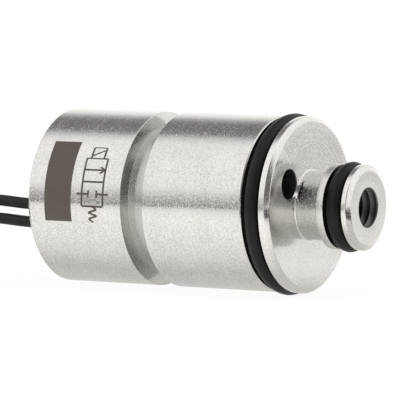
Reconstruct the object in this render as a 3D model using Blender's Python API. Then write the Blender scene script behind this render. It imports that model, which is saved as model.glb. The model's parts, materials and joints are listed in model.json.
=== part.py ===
"""Two-way cartridge solenoid valve with flying leads, lying on its side.

Lengths are in metres. The valve is turned about the X axis of the empty "valve_axis", whose origin lies on
the plane of the polished front face: the nose points to +X and the leads leave towards -X.
"""

from math import cos, pi, radians, sin, sqrt

import bmesh
import bpy
from mathutils import Vector

# Clearances
FACE_GAP = 0.00002
RUNNING_GAP = 0.00006
FIT_GAP = 0.00005
CORD_GAP = 0.0003
CUT_OVERRUN = 0.0005

# Housing
BODY_DIAMETER = 0.0150
HOUSING_LENGTH = 0.0212
HOUSING_WALL = 0.0021
HOUSING_FRONT_EDGE = 0.00010
HOUSING_REAR_EDGE = 0.00025
GROOVE_FROM_REAR = 0.0094
GROOVE_WIDTH = 0.00213
GROOVE_DEPTH = 0.00127
REAR_WALL = 0.0011
REAR_RECESS = 0.0021

# Seat body, outside
FLANGE_THICKNESS = 0.00088
FLANGE_CHAMFER_LENGTH = 0.00035
FLANGE_CHAMFER_DEPTH = 0.00038
NECK_DIAMETER = 0.00586
NECK_LENGTH = 0.0024
NECK_FILLET = 0.00045
NOSE_DIAMETER = 0.00725
NOSE_FLANGE_THICKNESS = 0.0007
TIP_LENGTH = 0.0007
TIP_CHAMFER_LENGTH = 0.00025
TIP_CHAMFER_DEPTH = 0.0005

# Seals
BODY_RING_SECTION = 0.0013
BODY_RING_STAND = 0.0002
NOSE_RING_SECTION = 0.00136
NOSE_RING_STAND = 0.00018
GLAND_WIDTH_RATIO = 1.27

# Ports and seat
NOSE_PORT_DIAMETER = 0.0033
NOSE_PORT_PAST_FACE = 0.0006
FACE_PORT_DIAMETER = 0.00254
FACE_PORT_ANGLE = radians(62)
FACE_WALL = 0.0020
FACE_PORT_BREAKTHROUGH = 0.0004
ORIFICE_DIAMETER = 0.0015
SEAT_LIP_DIAMETER = 0.0030
SEAT_LIP_TAPER = 0.0006
SEAT_LIP_HEIGHT = 0.0016
CHAMBER_DEPTH = 0.0033
GASKET_SEAT_WIDTH = 0.0004
PILOT_WALL = 0.00045

# Plunger, core and spring
PLUNGER_TO_BODY_RATIO = 1 / 3
PLUNGER_LENGTH = 0.0089
PLUNGER_STROKE = 0.0005
PLUNGER_SLOT_WIDTH = 0.0006
PLUNGER_SLOT_DEPTH = 0.00035
PLUNGER_SLOTS = 4
SEAL_DIAMETER = 0.0032
SEAL_THICKNESS = 0.0012
SEAL_STAND = 0.0003
SHIM_THICKNESS = 0.0001
SHIM_LAND = 0.0001
SPRING_WIRE = 0.0003
SPRING_DIAMETER = 0.0022
SPRING_POCKET_GAP = 0.0002
SPRING_TURNS = 7
PLUNGER_POCKET = 0.0040
CORE_POCKET = 0.0014
CORE_EDGE = 0.0002

# Guide tube and coil
TUBE_WALL = 0.0003
TUBE_FLANGE_THICKNESS = 0.0006
GASKET_THICKNESS = 0.0005
POLE_PLATE_THICKNESS = 0.0013
BOBBIN_WALL = 0.00039
BOBBIN_FLANGE = 0.0007
TAPE_THICKNESS = 0.00015
TAPE_FROM_RIM = 0.0001

# Rear end
WASHER_THICKNESS = 0.0002
WASHER_WAVE = 0.00012
WASHER_WAVES = 3
WASHER_WIDTH = 0.0007
CAP_PLUG_LENGTH = 0.0016
CAP_FLANGE = 0.0010
BOSS_TO_LUG = 0.0007
CAP_BOSS_HEIGHT = 0.0008
CLIP_THICKNESS = 0.0006
CLIP_DEPTH = 0.00035
CLIP_RING_WIDTH = 0.0008
CLIP_LUG_WIDTH = 0.0016
CLIP_LUG_HOLE = 0.0008
CLIP_MOUTH_ANGLE = radians(24)
CLIP_LUG_ANGLE = radians(17)
PIN_DIAMETER = 0.0006
PIN_ANGLE = radians(35)
PIN_DEPTH = 0.00045
PIN_IN_CAP = 0.0010
PIN_CLEARANCE = 0.0003

# Leads
LEAD_DIAMETER = 0.0010
LEAD_SPACING = 0.0016
LEAD_OFFSET = 0.0019
GROMMET_WALL = 0.0005
GROMMET_DEPTH = 0.0022
GROMMET_STAND = 0.0010
GROMMET_HOLE_DEPTH = 0.0014
COIL_PITCH = 0.00105
COIL_INNER_TURN_RADIUS = 0.0042
COIL_TURNS = 3.44
COIL_LAYERS = 4
COIL_LIFT = 0.00040
COIL_MARGIN = 0.00006
TIE_THICKNESS = 0.00025
TIE_WIDTH = 0.0016
TIE_GAP = 0.00010
TIE_ANGLE = radians(10)
BARE_END_DIAMETER = 0.0005
BARE_END_LENGTH = 0.0040

# Facets
BODY_SIDES = 48
INNER_SIDES = 32
SMALL_SIDES = 16
RING_SECTION_SIDES = 12
FILLET_STEPS = 4
SPRING_STEPS = 12
SHARP_ANGLE = radians(30)

# Worked out from the sizes above: radii
BODY_RADIUS = BODY_DIAMETER / 2
BORE_RADIUS = BODY_RADIUS - HOUSING_WALL
REAR_RECESS_RADIUS = BODY_RADIUS - REAR_WALL
CLIP_GROOVE_RADIUS = REAR_RECESS_RADIUS + CLIP_DEPTH
CLIP_RADIUS = CLIP_GROOVE_RADIUS - FIT_GAP
CLIP_LUG_RADIUS = CLIP_RADIUS - CLIP_LUG_WIDTH
BOSS_RADIUS = CLIP_LUG_RADIUS - BOSS_TO_LUG
NECK_RADIUS = NECK_DIAMETER / 2
NOSE_RADIUS = NOSE_DIAMETER / 2
BODY_RING_RADIUS = BODY_RADIUS + BODY_RING_STAND - BODY_RING_SECTION / 2
NOSE_RING_RADIUS = NOSE_RADIUS + NOSE_RING_STAND - NOSE_RING_SECTION / 2
FACE_PORT_RADIUS = NECK_RADIUS + FACE_PORT_DIAMETER / 2
PLUNGER_RADIUS = PLUNGER_TO_BODY_RATIO * BODY_RADIUS
SPRING_POCKET_RADIUS = SPRING_DIAMETER / 2 + SPRING_POCKET_GAP
TUBE_INNER_RADIUS = PLUNGER_RADIUS + RUNNING_GAP
TUBE_RADIUS = TUBE_INNER_RADIUS + TUBE_WALL
INSERT_RADIUS = BORE_RADIUS - FIT_GAP
GASKET_SEAT_RADIUS = INSERT_RADIUS - PILOT_WALL
CHAMBER_RADIUS = GASKET_SEAT_RADIUS - GASKET_SEAT_WIDTH
BOBBIN_RIM_RADIUS = BORE_RADIUS - 2 * FIT_GAP
SPOOL_INNER_RADIUS = TUBE_RADIUS + FIT_GAP
SPOOL_RADIUS = SPOOL_INNER_RADIUS + BOBBIN_WALL
TAPE_RADIUS = BOBBIN_RIM_RADIUS - TAPE_FROM_RIM
WINDING_RADIUS = TAPE_RADIUS - TAPE_THICKNESS - FACE_GAP
WASHER_RADIUS = INSERT_RADIUS - FIT_GAP
REAR_PLATE_BORE_RADIUS = PLUNGER_RADIUS + FIT_GAP
PIN_CIRCLE_RADIUS = (REAR_PLATE_BORE_RADIUS + WASHER_RADIUS - WASHER_WIDTH) / 2
LEAD_RADIUS = LEAD_DIAMETER / 2

# Worked out from the sizes above: planes along the axis, from the front face
NOSE_FLANGE_FRONT = NECK_LENGTH + NOSE_FLANGE_THICKNESS
NOSE_GLAND_FRONT = NOSE_FLANGE_FRONT + GLAND_WIDTH_RATIO * NOSE_RING_SECTION
TIP_FACE = NOSE_GLAND_FRONT + TIP_LENGTH
SHOULDER = -FLANGE_THICKNESS - GLAND_WIDTH_RATIO * BODY_RING_SECTION
SEAT_PLANE = -FACE_WALL - SEAT_LIP_HEIGHT
GASKET_SEAT = -FACE_WALL - CHAMBER_DEPTH
GASKET_FRONT = GASKET_SEAT - FACE_GAP
TUBE_FRONT = GASKET_FRONT - GASKET_THICKNESS - FACE_GAP
PILOT_END = TUBE_FRONT - TUBE_FLANGE_THICKNESS
FRONT_PLATE = PILOT_END - FACE_GAP
BOBBIN_FRONT = FRONT_PLATE - POLE_PLATE_THICKNESS - FACE_GAP
HOUSING_FRONT = SHOULDER - FACE_GAP
HOUSING_REAR = HOUSING_FRONT - HOUSING_LENGTH
RECESS_FLOOR = HOUSING_REAR + REAR_RECESS
CAP_SHOULDER = RECESS_FLOOR - FACE_GAP
CAP_FRONT = CAP_SHOULDER + CAP_PLUG_LENGTH
CAP_REAR = CAP_SHOULDER - CAP_FLANGE
BOSS_REAR = CAP_REAR - CAP_BOSS_HEIGHT
WASHER_HEIGHT = WASHER_THICKNESS + 2 * WASHER_WAVE
WASHER_FRONT = CAP_FRONT + FACE_GAP + WASHER_HEIGHT
REAR_PLATE_REAR = WASHER_FRONT + FACE_GAP
REAR_PLATE = REAR_PLATE_REAR + POLE_PLATE_THICKNESS
BOBBIN_REAR = REAR_PLATE + FACE_GAP
CLIP_FRONT = CAP_REAR - FACE_GAP
CLIP_REAR = CLIP_FRONT - CLIP_THICKNESS
SEAL_FRONT = SEAT_PLANE - FACE_GAP
PLUNGER_FRONT = SEAL_FRONT - SEAL_STAND
PLUNGER_REAR = PLUNGER_FRONT - PLUNGER_LENGTH
SHIM_FRONT = PLUNGER_REAR - PLUNGER_STROKE - FACE_GAP
CORE_FRONT = SHIM_FRONT - SHIM_THICKNESS - FACE_GAP
SPRING_FRONT = PLUNGER_REAR + PLUNGER_POCKET - FACE_GAP
SPRING_REAR = CORE_FRONT - CORE_POCKET + FACE_GAP
GROMMET_REAR = BOSS_REAR - GROMMET_STAND
GROMMET_FRONT = BOSS_REAR + GROMMET_DEPTH

# The valve rests on its body O-ring, and the middle of its length is over the world origin.
AXIS_HEIGHT = BODY_RADIUS + BODY_RING_STAND
MIDDLE = (TIP_FACE + GROMMET_REAR) / 2

# Routes of the leads from the grommet to the coil, in the valve's own frame, chosen by hand.
LOWER_ROUTE = [
    (-0.0250, 0.0, -0.00270),
    (-0.0265, 0.0, -0.00262),
    (-0.0290, 0.0, -0.00232),
    (-0.0315, 0.0, -0.00204),
    (-0.0335, 0.0, -0.00208),
    (-0.0355, 0.0, -0.00280),
    (-0.0375, 0.0, -0.00400),
    (-0.0395, 0.0, -0.00520),
]
UPPER_ROUTE = [
    (-0.0250, 0.0, -0.00110),
    (-0.0265, 0.0, -0.00102),
    (-0.0290, 0.0, -0.00072),
    (-0.0315, 0.0, -0.00044),
    (-0.0335, 0.0, -0.00042),
    (-0.0355, 0.0, -0.00098),
    (-0.0375, 0.0, -0.00208),
    (-0.0395, 0.0, -0.00320),
]
COIL_CENTRE_X = -0.0440


def clear_scene():
    """Remove everything that the scene starts with."""
    for item in list(bpy.data.objects):
        bpy.data.objects.remove(item)


def finish(name, colour, roughness, metallic):
    """Return a Principled material with one colour."""
    material = bpy.data.materials.new(name)
    material.use_nodes = True
    shader = material.node_tree.nodes["Principled BSDF"]
    shader.inputs["Base Color"].default_value = (*colour, 1.0)
    shader.inputs["Roughness"].default_value = roughness
    shader.inputs["Metallic"].default_value = metallic
    return material


def make_object(name, shape, material=None, location=(0, 0, 0), rotation=(0, 0, 0)):
    """Turn a bmesh into a smooth shaded object on the valve's axis."""
    bmesh.ops.recalc_face_normals(shape, faces=shape.faces)
    mesh = bpy.data.meshes.new(name)
    shape.to_mesh(mesh)
    shape.free()
    mesh.shade_smooth()
    mesh.set_sharp_from_angle(angle=SHARP_ANGLE)
    if material:
        mesh.materials.append(material)
    made = bpy.data.objects.new(name, mesh)
    bpy.context.scene.collection.objects.link(made)
    made.parent = AXIS
    made.location = location
    made.rotation_euler = rotation
    return made


def turned(outline, sides=INNER_SIDES):
    """Turn an (x, radius) outline about the X axis. One that starts and ends on the axis stays open there."""
    shape = bmesh.new()
    points = [shape.verts.new((x, 0.0, radius)) for x, radius in outline]
    pairs = list(zip(points, points[1:]))
    if outline[0][1] > 0:
        pairs.append((points[-1], points[0]))
    edges = [shape.edges.new(pair) for pair in pairs]
    bmesh.ops.spin(shape, geom=points + edges, axis=(1, 0, 0), angle=2 * pi, steps=sides, use_merge=True)
    bmesh.ops.remove_doubles(shape, verts=shape.verts, dist=1e-7)
    return shape


def arc(centre_x, centre_radius, radius, start, end, steps):
    """Points of an arc in the (x, radius) plane."""
    angles = [start + (end - start) * step / steps for step in range(steps + 1)]
    return [(centre_x + radius * cos(angle), centre_radius + radius * sin(angle)) for angle in angles]


def rod(front, rear, diameter, sides=SMALL_SIDES):
    """A solid cylinder along X between two planes."""
    return turned([(front, 0.0), (front, diameter / 2), (rear, diameter / 2), (rear, 0.0)], sides)


def sleeve(front, rear, inner, outer, sides=INNER_SIDES):
    """A plain ring along X between two planes."""
    return turned([(front, inner), (front, outer), (rear, outer), (rear, inner)], sides)


def extruded(outline, front, rear):
    """Extrude a (y, z) outline along X between two planes."""
    shape = bmesh.new()
    face = shape.faces.new([shape.verts.new((front, y, z)) for y, z in outline])
    grown = bmesh.ops.extrude_face_region(shape, geom=[face], use_keep_orig=True)
    moved = [item for item in grown["geom"] if isinstance(item, bmesh.types.BMVert)]
    bmesh.ops.translate(shape, verts=moved, vec=(rear - front, 0, 0))
    return shape


def round_slot(middle_z, spacing, radius, steps=SMALL_SIDES // 2):
    """The (y, z) outline of a slot with round ends, upright on the plane y = 0."""
    outline = []
    for end, start in ((spacing / 2, 0.0), (-spacing / 2, pi)):
        for step in range(steps + 1):
            angle = start + pi * step / steps
            outline.append((radius * cos(angle), middle_z + end + radius * sin(angle)))
    return outline


def cut(target, name, shape, location=(0, 0, 0), rotation=(0, 0, 0)):
    """Take a hidden cutter away from the target."""
    cutter = make_object(name, shape, None, location, rotation)
    cutter.hide_render = True
    cutter.display_type = "WIRE"
    modifier = target.modifiers.new(name, "BOOLEAN")
    modifier.operation = "DIFFERENCE"
    modifier.object = cutter


def around(radius, angle):
    """A place on a circle about the axis, with the angle from straight up towards -Y."""
    return (0.0, -radius * sin(angle), radius * cos(angle))


def build_housing():
    """The outer sleeve, with its retaining groove and the recess for the end cap and its ring."""
    groove_rear = HOUSING_REAR + GROOVE_FROM_REAR
    groove_front = groove_rear + GROOVE_WIDTH
    groove_radius = BODY_RADIUS - GROOVE_DEPTH
    clip_front = CLIP_FRONT + FACE_GAP
    clip_rear = CLIP_REAR - FIT_GAP
    outline = [
        (HOUSING_FRONT, BORE_RADIUS),
        (HOUSING_FRONT, BODY_RADIUS - HOUSING_FRONT_EDGE),
        (HOUSING_FRONT - HOUSING_FRONT_EDGE, BODY_RADIUS),
        (groove_front, BODY_RADIUS),
        (groove_front, groove_radius),
        (groove_rear, groove_radius),
        (groove_rear, BODY_RADIUS),
        (HOUSING_REAR + HOUSING_REAR_EDGE, BODY_RADIUS),
        (HOUSING_REAR, BODY_RADIUS - HOUSING_REAR_EDGE),
        (HOUSING_REAR, REAR_RECESS_RADIUS),
        (clip_rear, REAR_RECESS_RADIUS),
        (clip_rear, CLIP_GROOVE_RADIUS),
        (clip_front, CLIP_GROOVE_RADIUS),
        (clip_front, REAR_RECESS_RADIUS),
        (RECESS_FLOOR, REAR_RECESS_RADIUS),
        (RECESS_FLOOR, BORE_RADIUS),
    ]
    make_object("housing", turned(outline, BODY_SIDES), BODY_STEEL)


def build_seat_body():
    """Flange, neck, nose and valve seat, turned from one bar, with the port drilled through its face."""
    body_gland_radius = BODY_RING_RADIUS - BODY_RING_SECTION / 2 - FACE_GAP
    nose_gland_radius = NOSE_RING_RADIUS - NOSE_RING_SECTION / 2 - FACE_GAP
    fillet = arc(NECK_FILLET, NECK_RADIUS + NECK_FILLET, NECK_FILLET, 1.5 * pi, pi, FILLET_STEPS)
    lip_radius = SEAT_LIP_DIAMETER / 2
    outline = [
        (TIP_FACE, NOSE_PORT_DIAMETER / 2),
        (TIP_FACE, NOSE_RADIUS - TIP_CHAMFER_DEPTH),
        (TIP_FACE - TIP_CHAMFER_LENGTH, NOSE_RADIUS),
        (NOSE_GLAND_FRONT, NOSE_RADIUS),
        (NOSE_GLAND_FRONT, nose_gland_radius),
        (NOSE_FLANGE_FRONT, nose_gland_radius),
        (NOSE_FLANGE_FRONT, NOSE_RADIUS),
        (NECK_LENGTH, NOSE_RADIUS),
        (NECK_LENGTH, NECK_RADIUS),
        *fillet,
        (0.0, BODY_RADIUS - FLANGE_CHAMFER_DEPTH),
        (-FLANGE_CHAMFER_LENGTH, BODY_RADIUS),
        (-FLANGE_THICKNESS, BODY_RADIUS),
        (-FLANGE_THICKNESS, body_gland_radius),
        (SHOULDER, body_gland_radius),
        (SHOULDER, INSERT_RADIUS),
        (PILOT_END, INSERT_RADIUS),
        (PILOT_END, GASKET_SEAT_RADIUS),
        (GASKET_SEAT, GASKET_SEAT_RADIUS),
        (GASKET_SEAT, CHAMBER_RADIUS),
        (-FACE_WALL, CHAMBER_RADIUS),
        (-FACE_WALL, lip_radius + SEAT_LIP_TAPER),
        (SEAT_PLANE, lip_radius),
        (SEAT_PLANE, ORIFICE_DIAMETER / 2),
        (-NOSE_PORT_PAST_FACE, ORIFICE_DIAMETER / 2),
        (-NOSE_PORT_PAST_FACE, NOSE_PORT_DIAMETER / 2),
    ]
    seat_body = make_object("seat_body", turned(outline, BODY_SIDES), FACE_STEEL)
    drill = rod(CUT_OVERRUN, -FACE_WALL - FACE_PORT_BREAKTHROUGH, FACE_PORT_DIAMETER, INNER_SIDES)
    cut(seat_body, "face_port_drill", drill, around(FACE_PORT_RADIUS, FACE_PORT_ANGLE))


def build_o_rings():
    """The two O-rings in their glands."""
    body_x = (SHOULDER - FLANGE_THICKNESS) / 2
    nose_x = (NOSE_FLANGE_FRONT + NOSE_GLAND_FRONT) / 2
    for name, place, radius, section, sides in (
        ("body_o_ring", body_x, BODY_RING_RADIUS, BODY_RING_SECTION, BODY_SIDES),
        ("nose_o_ring", nose_x, NOSE_RING_RADIUS, NOSE_RING_SECTION, INNER_SIDES),
    ):
        circle = arc(0.0, radius, section / 2, 0.0, 2 * pi, RING_SECTION_SIDES)[:-1]
        make_object(name, turned(circle, sides), RUBBER, (place, 0, 0))


def build_plunger():
    """The moving armature with its flow slots, rubber face and spring pocket."""
    recess_radius = SEAL_DIAMETER / 2 + FIT_GAP
    recess_floor = SEAL_FRONT - SEAL_THICKNESS - FACE_GAP
    pocket_floor = PLUNGER_REAR + PLUNGER_POCKET
    outline = [
        (recess_floor, 0.0),
        (recess_floor, recess_radius),
        (PLUNGER_FRONT, recess_radius),
        (PLUNGER_FRONT, PLUNGER_RADIUS - CORE_EDGE),
        (PLUNGER_FRONT - CORE_EDGE, PLUNGER_RADIUS),
        (PLUNGER_REAR + CORE_EDGE, PLUNGER_RADIUS),
        (PLUNGER_REAR, PLUNGER_RADIUS - CORE_EDGE),
        (PLUNGER_REAR, SPRING_POCKET_RADIUS),
        (pocket_floor, SPRING_POCKET_RADIUS),
        (pocket_floor, 0.0),
    ]
    plunger = make_object("plunger", turned(outline), MAGNET_STEEL)
    half_width = PLUNGER_SLOT_WIDTH / 2
    floor = PLUNGER_RADIUS - PLUNGER_SLOT_DEPTH
    top = PLUNGER_RADIUS + CUT_OVERRUN
    slot = [(-half_width, floor), (half_width, floor), (half_width, top), (-half_width, top)]
    for number in range(PLUNGER_SLOTS):
        turn = 2 * pi * (number + 0.5) / PLUNGER_SLOTS
        bar = extruded(slot, PLUNGER_FRONT + CUT_OVERRUN, PLUNGER_REAR - CUT_OVERRUN)
        cut(plunger, f"plunger_slot_{number + 1}", bar, rotation=(turn, 0, 0))
    seal = rod(SEAL_FRONT, SEAL_FRONT - SEAL_THICKNESS, SEAL_DIAMETER, INNER_SIDES)
    make_object("plunger_seal", seal, RUBBER)


def build_spring():
    """The return spring, a helix whose end turns lie flatter than its middle."""
    curve = bpy.data.curves.new("return_spring", "CURVE")
    curve.dimensions = "3D"
    curve.bevel_depth = SPRING_WIRE / 2
    curve.bevel_resolution = 1
    curve.use_fill_caps = True
    curve.materials.append(SPRING_STEEL)
    steps = SPRING_TURNS * SPRING_STEPS
    front = SPRING_FRONT - SPRING_WIRE / 2
    length = front - SPRING_REAR - SPRING_WIRE / 2
    coil_radius = (SPRING_DIAMETER - SPRING_WIRE) / 2
    line = curve.splines.new("POLY")
    line.points.add(steps)
    for step, point in enumerate(line.points):
        share = step / steps
        eased = share - sin(2 * pi * share) / (4 * pi)
        angle = 2 * pi * step / SPRING_STEPS
        place = (front - length * eased, coil_radius * cos(angle), coil_radius * sin(angle))
        point.co = (*place, 1.0)
    spring = bpy.data.objects.new("return_spring", curve)
    bpy.context.scene.collection.objects.link(spring)
    spring.parent = AXIS


def build_core():
    """The fixed core with the thin shim that keeps the plunger from sticking to it."""
    pocket_floor = CORE_FRONT - CORE_POCKET
    outline = [
        (pocket_floor, 0.0),
        (pocket_floor, SPRING_POCKET_RADIUS),
        (CORE_FRONT, SPRING_POCKET_RADIUS),
        (CORE_FRONT, PLUNGER_RADIUS - CORE_EDGE),
        (CORE_FRONT - CORE_EDGE, PLUNGER_RADIUS),
        (REAR_PLATE_REAR, PLUNGER_RADIUS),
        (REAR_PLATE_REAR, 0.0),
    ]
    make_object("fixed_core", turned(outline), MAGNET_STEEL)
    shim_radius = PLUNGER_RADIUS - CORE_EDGE - SHIM_LAND
    shim = sleeve(SHIM_FRONT, SHIM_FRONT - SHIM_THICKNESS, SPRING_POCKET_RADIUS + SHIM_LAND, shim_radius)
    make_object("residual_shim", shim, BRASS)


def build_guide_tube():
    """The thin tube that guides the plunger, and the gasket under its flange."""
    flange_radius = GASKET_SEAT_RADIUS - FIT_GAP
    tube_rear = REAR_PLATE + FACE_GAP
    outline = [
        (TUBE_FRONT, TUBE_INNER_RADIUS),
        (TUBE_FRONT, flange_radius),
        (PILOT_END, flange_radius),
        (PILOT_END, TUBE_RADIUS),
        (tube_rear, TUBE_RADIUS),
        (tube_rear, TUBE_INNER_RADIUS),
    ]
    make_object("guide_tube", turned(outline), FACE_STEEL)
    gasket = sleeve(GASKET_FRONT, GASKET_FRONT - GASKET_THICKNESS, TUBE_RADIUS, flange_radius)
    make_object("tube_gasket", gasket, RUBBER)


def pin_places():
    """Where the two terminal pins stand round the axis."""
    return [around(PIN_CIRCLE_RADIUS, pi + side * PIN_ANGLE) for side in (-1, 1)]


def build_coil():
    """Bobbin, winding and tape, with a steel plate at each end that closes the magnetic path."""
    plate_bore = TUBE_RADIUS + FIT_GAP
    front_rear = FRONT_PLATE - POLE_PLATE_THICKNESS
    make_object("front_pole_plate", sleeve(FRONT_PLATE, front_rear, plate_bore, INSERT_RADIUS), MAGNET_STEEL)
    rear_ring = sleeve(REAR_PLATE, REAR_PLATE_REAR, REAR_PLATE_BORE_RADIUS, INSERT_RADIUS)
    rear_plate = make_object("rear_pole_plate", rear_ring, MAGNET_STEEL)
    flange_rear = BOBBIN_FRONT - BOBBIN_FLANGE
    flange_front = BOBBIN_REAR + BOBBIN_FLANGE
    outline = [
        (BOBBIN_FRONT, SPOOL_INNER_RADIUS),
        (BOBBIN_FRONT, BOBBIN_RIM_RADIUS),
        (flange_rear, BOBBIN_RIM_RADIUS),
        (flange_rear, SPOOL_RADIUS),
        (flange_front, SPOOL_RADIUS),
        (flange_front, BOBBIN_RIM_RADIUS),
        (BOBBIN_REAR, BOBBIN_RIM_RADIUS),
        (BOBBIN_REAR, SPOOL_INNER_RADIUS),
    ]
    bobbin = make_object("coil_bobbin", turned(outline), NYLON)
    wound_front = flange_rear - FACE_GAP
    wound_rear = flange_front + FACE_GAP
    spool = SPOOL_RADIUS + FACE_GAP
    make_object("coil_winding", sleeve(wound_front, wound_rear, spool, WINDING_RADIUS), COPPER)
    tape_inner = WINDING_RADIUS + FACE_GAP
    make_object("coil_tape", sleeve(wound_front, wound_rear, tape_inner, TAPE_RADIUS), TAPE)
    pin_front = BOBBIN_REAR + PIN_DEPTH - FACE_GAP
    pin_rear = CAP_FRONT - PIN_IN_CAP
    passage_diameter = PIN_DIAMETER + 2 * PIN_CLEARANCE
    for number, place in enumerate(pin_places(), start=1):
        socket = rod(BOBBIN_REAR + PIN_DEPTH, BOBBIN_REAR - CUT_OVERRUN, PIN_DIAMETER + 2 * FIT_GAP)
        cut(bobbin, f"pin_socket_{number}", socket, place)
        passage = rod(REAR_PLATE + CUT_OVERRUN, REAR_PLATE_REAR - CUT_OVERRUN, passage_diameter)
        cut(rear_plate, f"pin_passage_{number}", passage, place)
        make_object(f"terminal_pin_{number}", rod(pin_front, pin_rear, PIN_DIAMETER), BRASS, place)


def build_washer():
    """The wave washer that presses the coil stack forward."""
    front = WASHER_FRONT - WASHER_WAVE
    shape = sleeve(front, front - WASHER_THICKNESS, WASHER_RADIUS - WASHER_WIDTH, WASHER_RADIUS)
    for point in shape.verts:
        across = Vector((point.co.y, point.co.z))
        point.co.x += WASHER_WAVE * cos(WASHER_WAVES * across.angle_signed(Vector((0, 1))))
    make_object("wave_washer", shape, SPRING_STEEL)


def build_end_cap():
    """The moulded cap that closes the rear, and the ring that holds it."""
    outline = [
        (CAP_FRONT, 0.0),
        (CAP_FRONT, INSERT_RADIUS),
        (CAP_SHOULDER, INSERT_RADIUS),
        (CAP_SHOULDER, REAR_RECESS_RADIUS - FIT_GAP),
        (CAP_REAR, REAR_RECESS_RADIUS - FIT_GAP),
        (CAP_REAR, BOSS_RADIUS),
        (BOSS_REAR, BOSS_RADIUS),
        (BOSS_REAR, 0.0),
    ]
    cap = make_object("end_cap", turned(outline), CAP_PLASTIC)
    for number, place in enumerate(pin_places(), start=1):
        hole_rear = CAP_FRONT - PIN_IN_CAP - FIT_GAP
        hole = rod(CAP_FRONT + CUT_OVERRUN, hole_rear, PIN_DIAMETER + 2 * PIN_CLEARANCE)
        cut(cap, f"cap_pin_hole_{number}", hole, place)
    grommet_radius = LEAD_RADIUS + FIT_GAP + GROMMET_WALL
    window = round_slot(-LEAD_OFFSET, LEAD_SPACING, grommet_radius + FIT_GAP)
    cut(cap, "grommet_window", extruded(window, GROMMET_FRONT + FACE_GAP, BOSS_REAR - CUT_OVERRUN))
    body = extruded(round_slot(-LEAD_OFFSET, LEAD_SPACING, grommet_radius), GROMMET_FRONT, GROMMET_REAR)
    grommet = make_object("lead_grommet", body, RUBBER)
    for number, side in enumerate((-1, 1), start=1):
        hole = rod(GROMMET_REAR + GROMMET_HOLE_DEPTH, GROMMET_REAR - CUT_OVERRUN, LEAD_DIAMETER + 2 * FIT_GAP)
        cut(grommet, f"lead_hole_{number}", hole, (0, 0, -LEAD_OFFSET + side * LEAD_SPACING / 2))


def build_retaining_ring():
    """An open internal ring with two drilled lugs at its mouth, which faces down."""
    inner = CLIP_RADIUS - CLIP_RING_WIDTH
    start = CLIP_MOUTH_ANGLE / 2
    end = 2 * pi - start
    stretches = [
        (CLIP_RADIUS, start, end, INNER_SIDES),
        (CLIP_LUG_RADIUS, end, end - CLIP_LUG_ANGLE, 3),
        (inner, end - CLIP_LUG_ANGLE, start + CLIP_LUG_ANGLE, INNER_SIDES),
        (CLIP_LUG_RADIUS, start + CLIP_LUG_ANGLE, start, 3),
    ]
    outline = []
    for radius, first, last, steps in stretches:
        outline += arc(0.0, 0.0, radius, first, last, steps)
    shape = extruded(outline, CLIP_FRONT, CLIP_REAR)
    ring = make_object("retaining_ring", shape, SPRING_STEEL, rotation=(-pi / 2, 0, 0))
    hole_radius = CLIP_RADIUS - CLIP_LUG_WIDTH / 2
    hole_angle = start + CLIP_LUG_ANGLE / 2
    for number, side in enumerate((-1, 1), start=1):
        hole = rod(CLIP_FRONT + CUT_OVERRUN, CLIP_REAR - CUT_OVERRUN, CLIP_LUG_HOLE)
        cut(ring, f"lug_hole_{number}", hole, around(hole_radius, pi + side * hole_angle))


def smooth_route(route, steps=3):
    """Points of a smooth curve through the route's own points."""
    knots = [Vector(point) for point in route]
    knots = [2 * knots[0] - knots[1], *knots, 2 * knots[-1] - knots[-2]]
    points = []
    for before, first, second, after in zip(knots, knots[1:], knots[2:], knots[3:]):
        for step in range(steps):
            share = step / steps
            bend = (2 * before - 5 * first + 4 * second - after) * share**2
            twist = (3 * first - before - 3 * second + after) * share**3
            points.append((2 * first + (second - before) * share + bend + twist) / 2)
    return points + [knots[-2]]


def build_leads():
    """The two leads from the grommet to the coil that they are wound into."""
    start = GROMMET_REAR + GROMMET_HOLE_DEPTH - CORD_GAP
    for number, route in enumerate((LOWER_ROUTE, UPPER_ROUTE), start=1):
        height = -LEAD_OFFSET + (2 * number - 3) * LEAD_SPACING / 2
        points = [Vector((start, 0.0, height)), Vector((GROMMET_REAR, 0.0, height)), *smooth_route(route)]
        curve = bpy.data.curves.new(f"lead_{number}", "CURVE")
        curve.dimensions = "3D"
        curve.bevel_depth = LEAD_RADIUS
        curve.bevel_resolution = 2
        curve.use_fill_caps = True
        curve.materials.append(LEAD_PLASTIC)
        line = curve.splines.new("POLY")
        line.points.add(len(points) - 1)
        for place, point in zip(points, line.points):
            point.co = (*place, 1.0)
        lead = bpy.data.objects.new(f"lead_{number}", curve)
        bpy.context.scene.collection.objects.link(lead)
        lead.parent = AXIS


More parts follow.
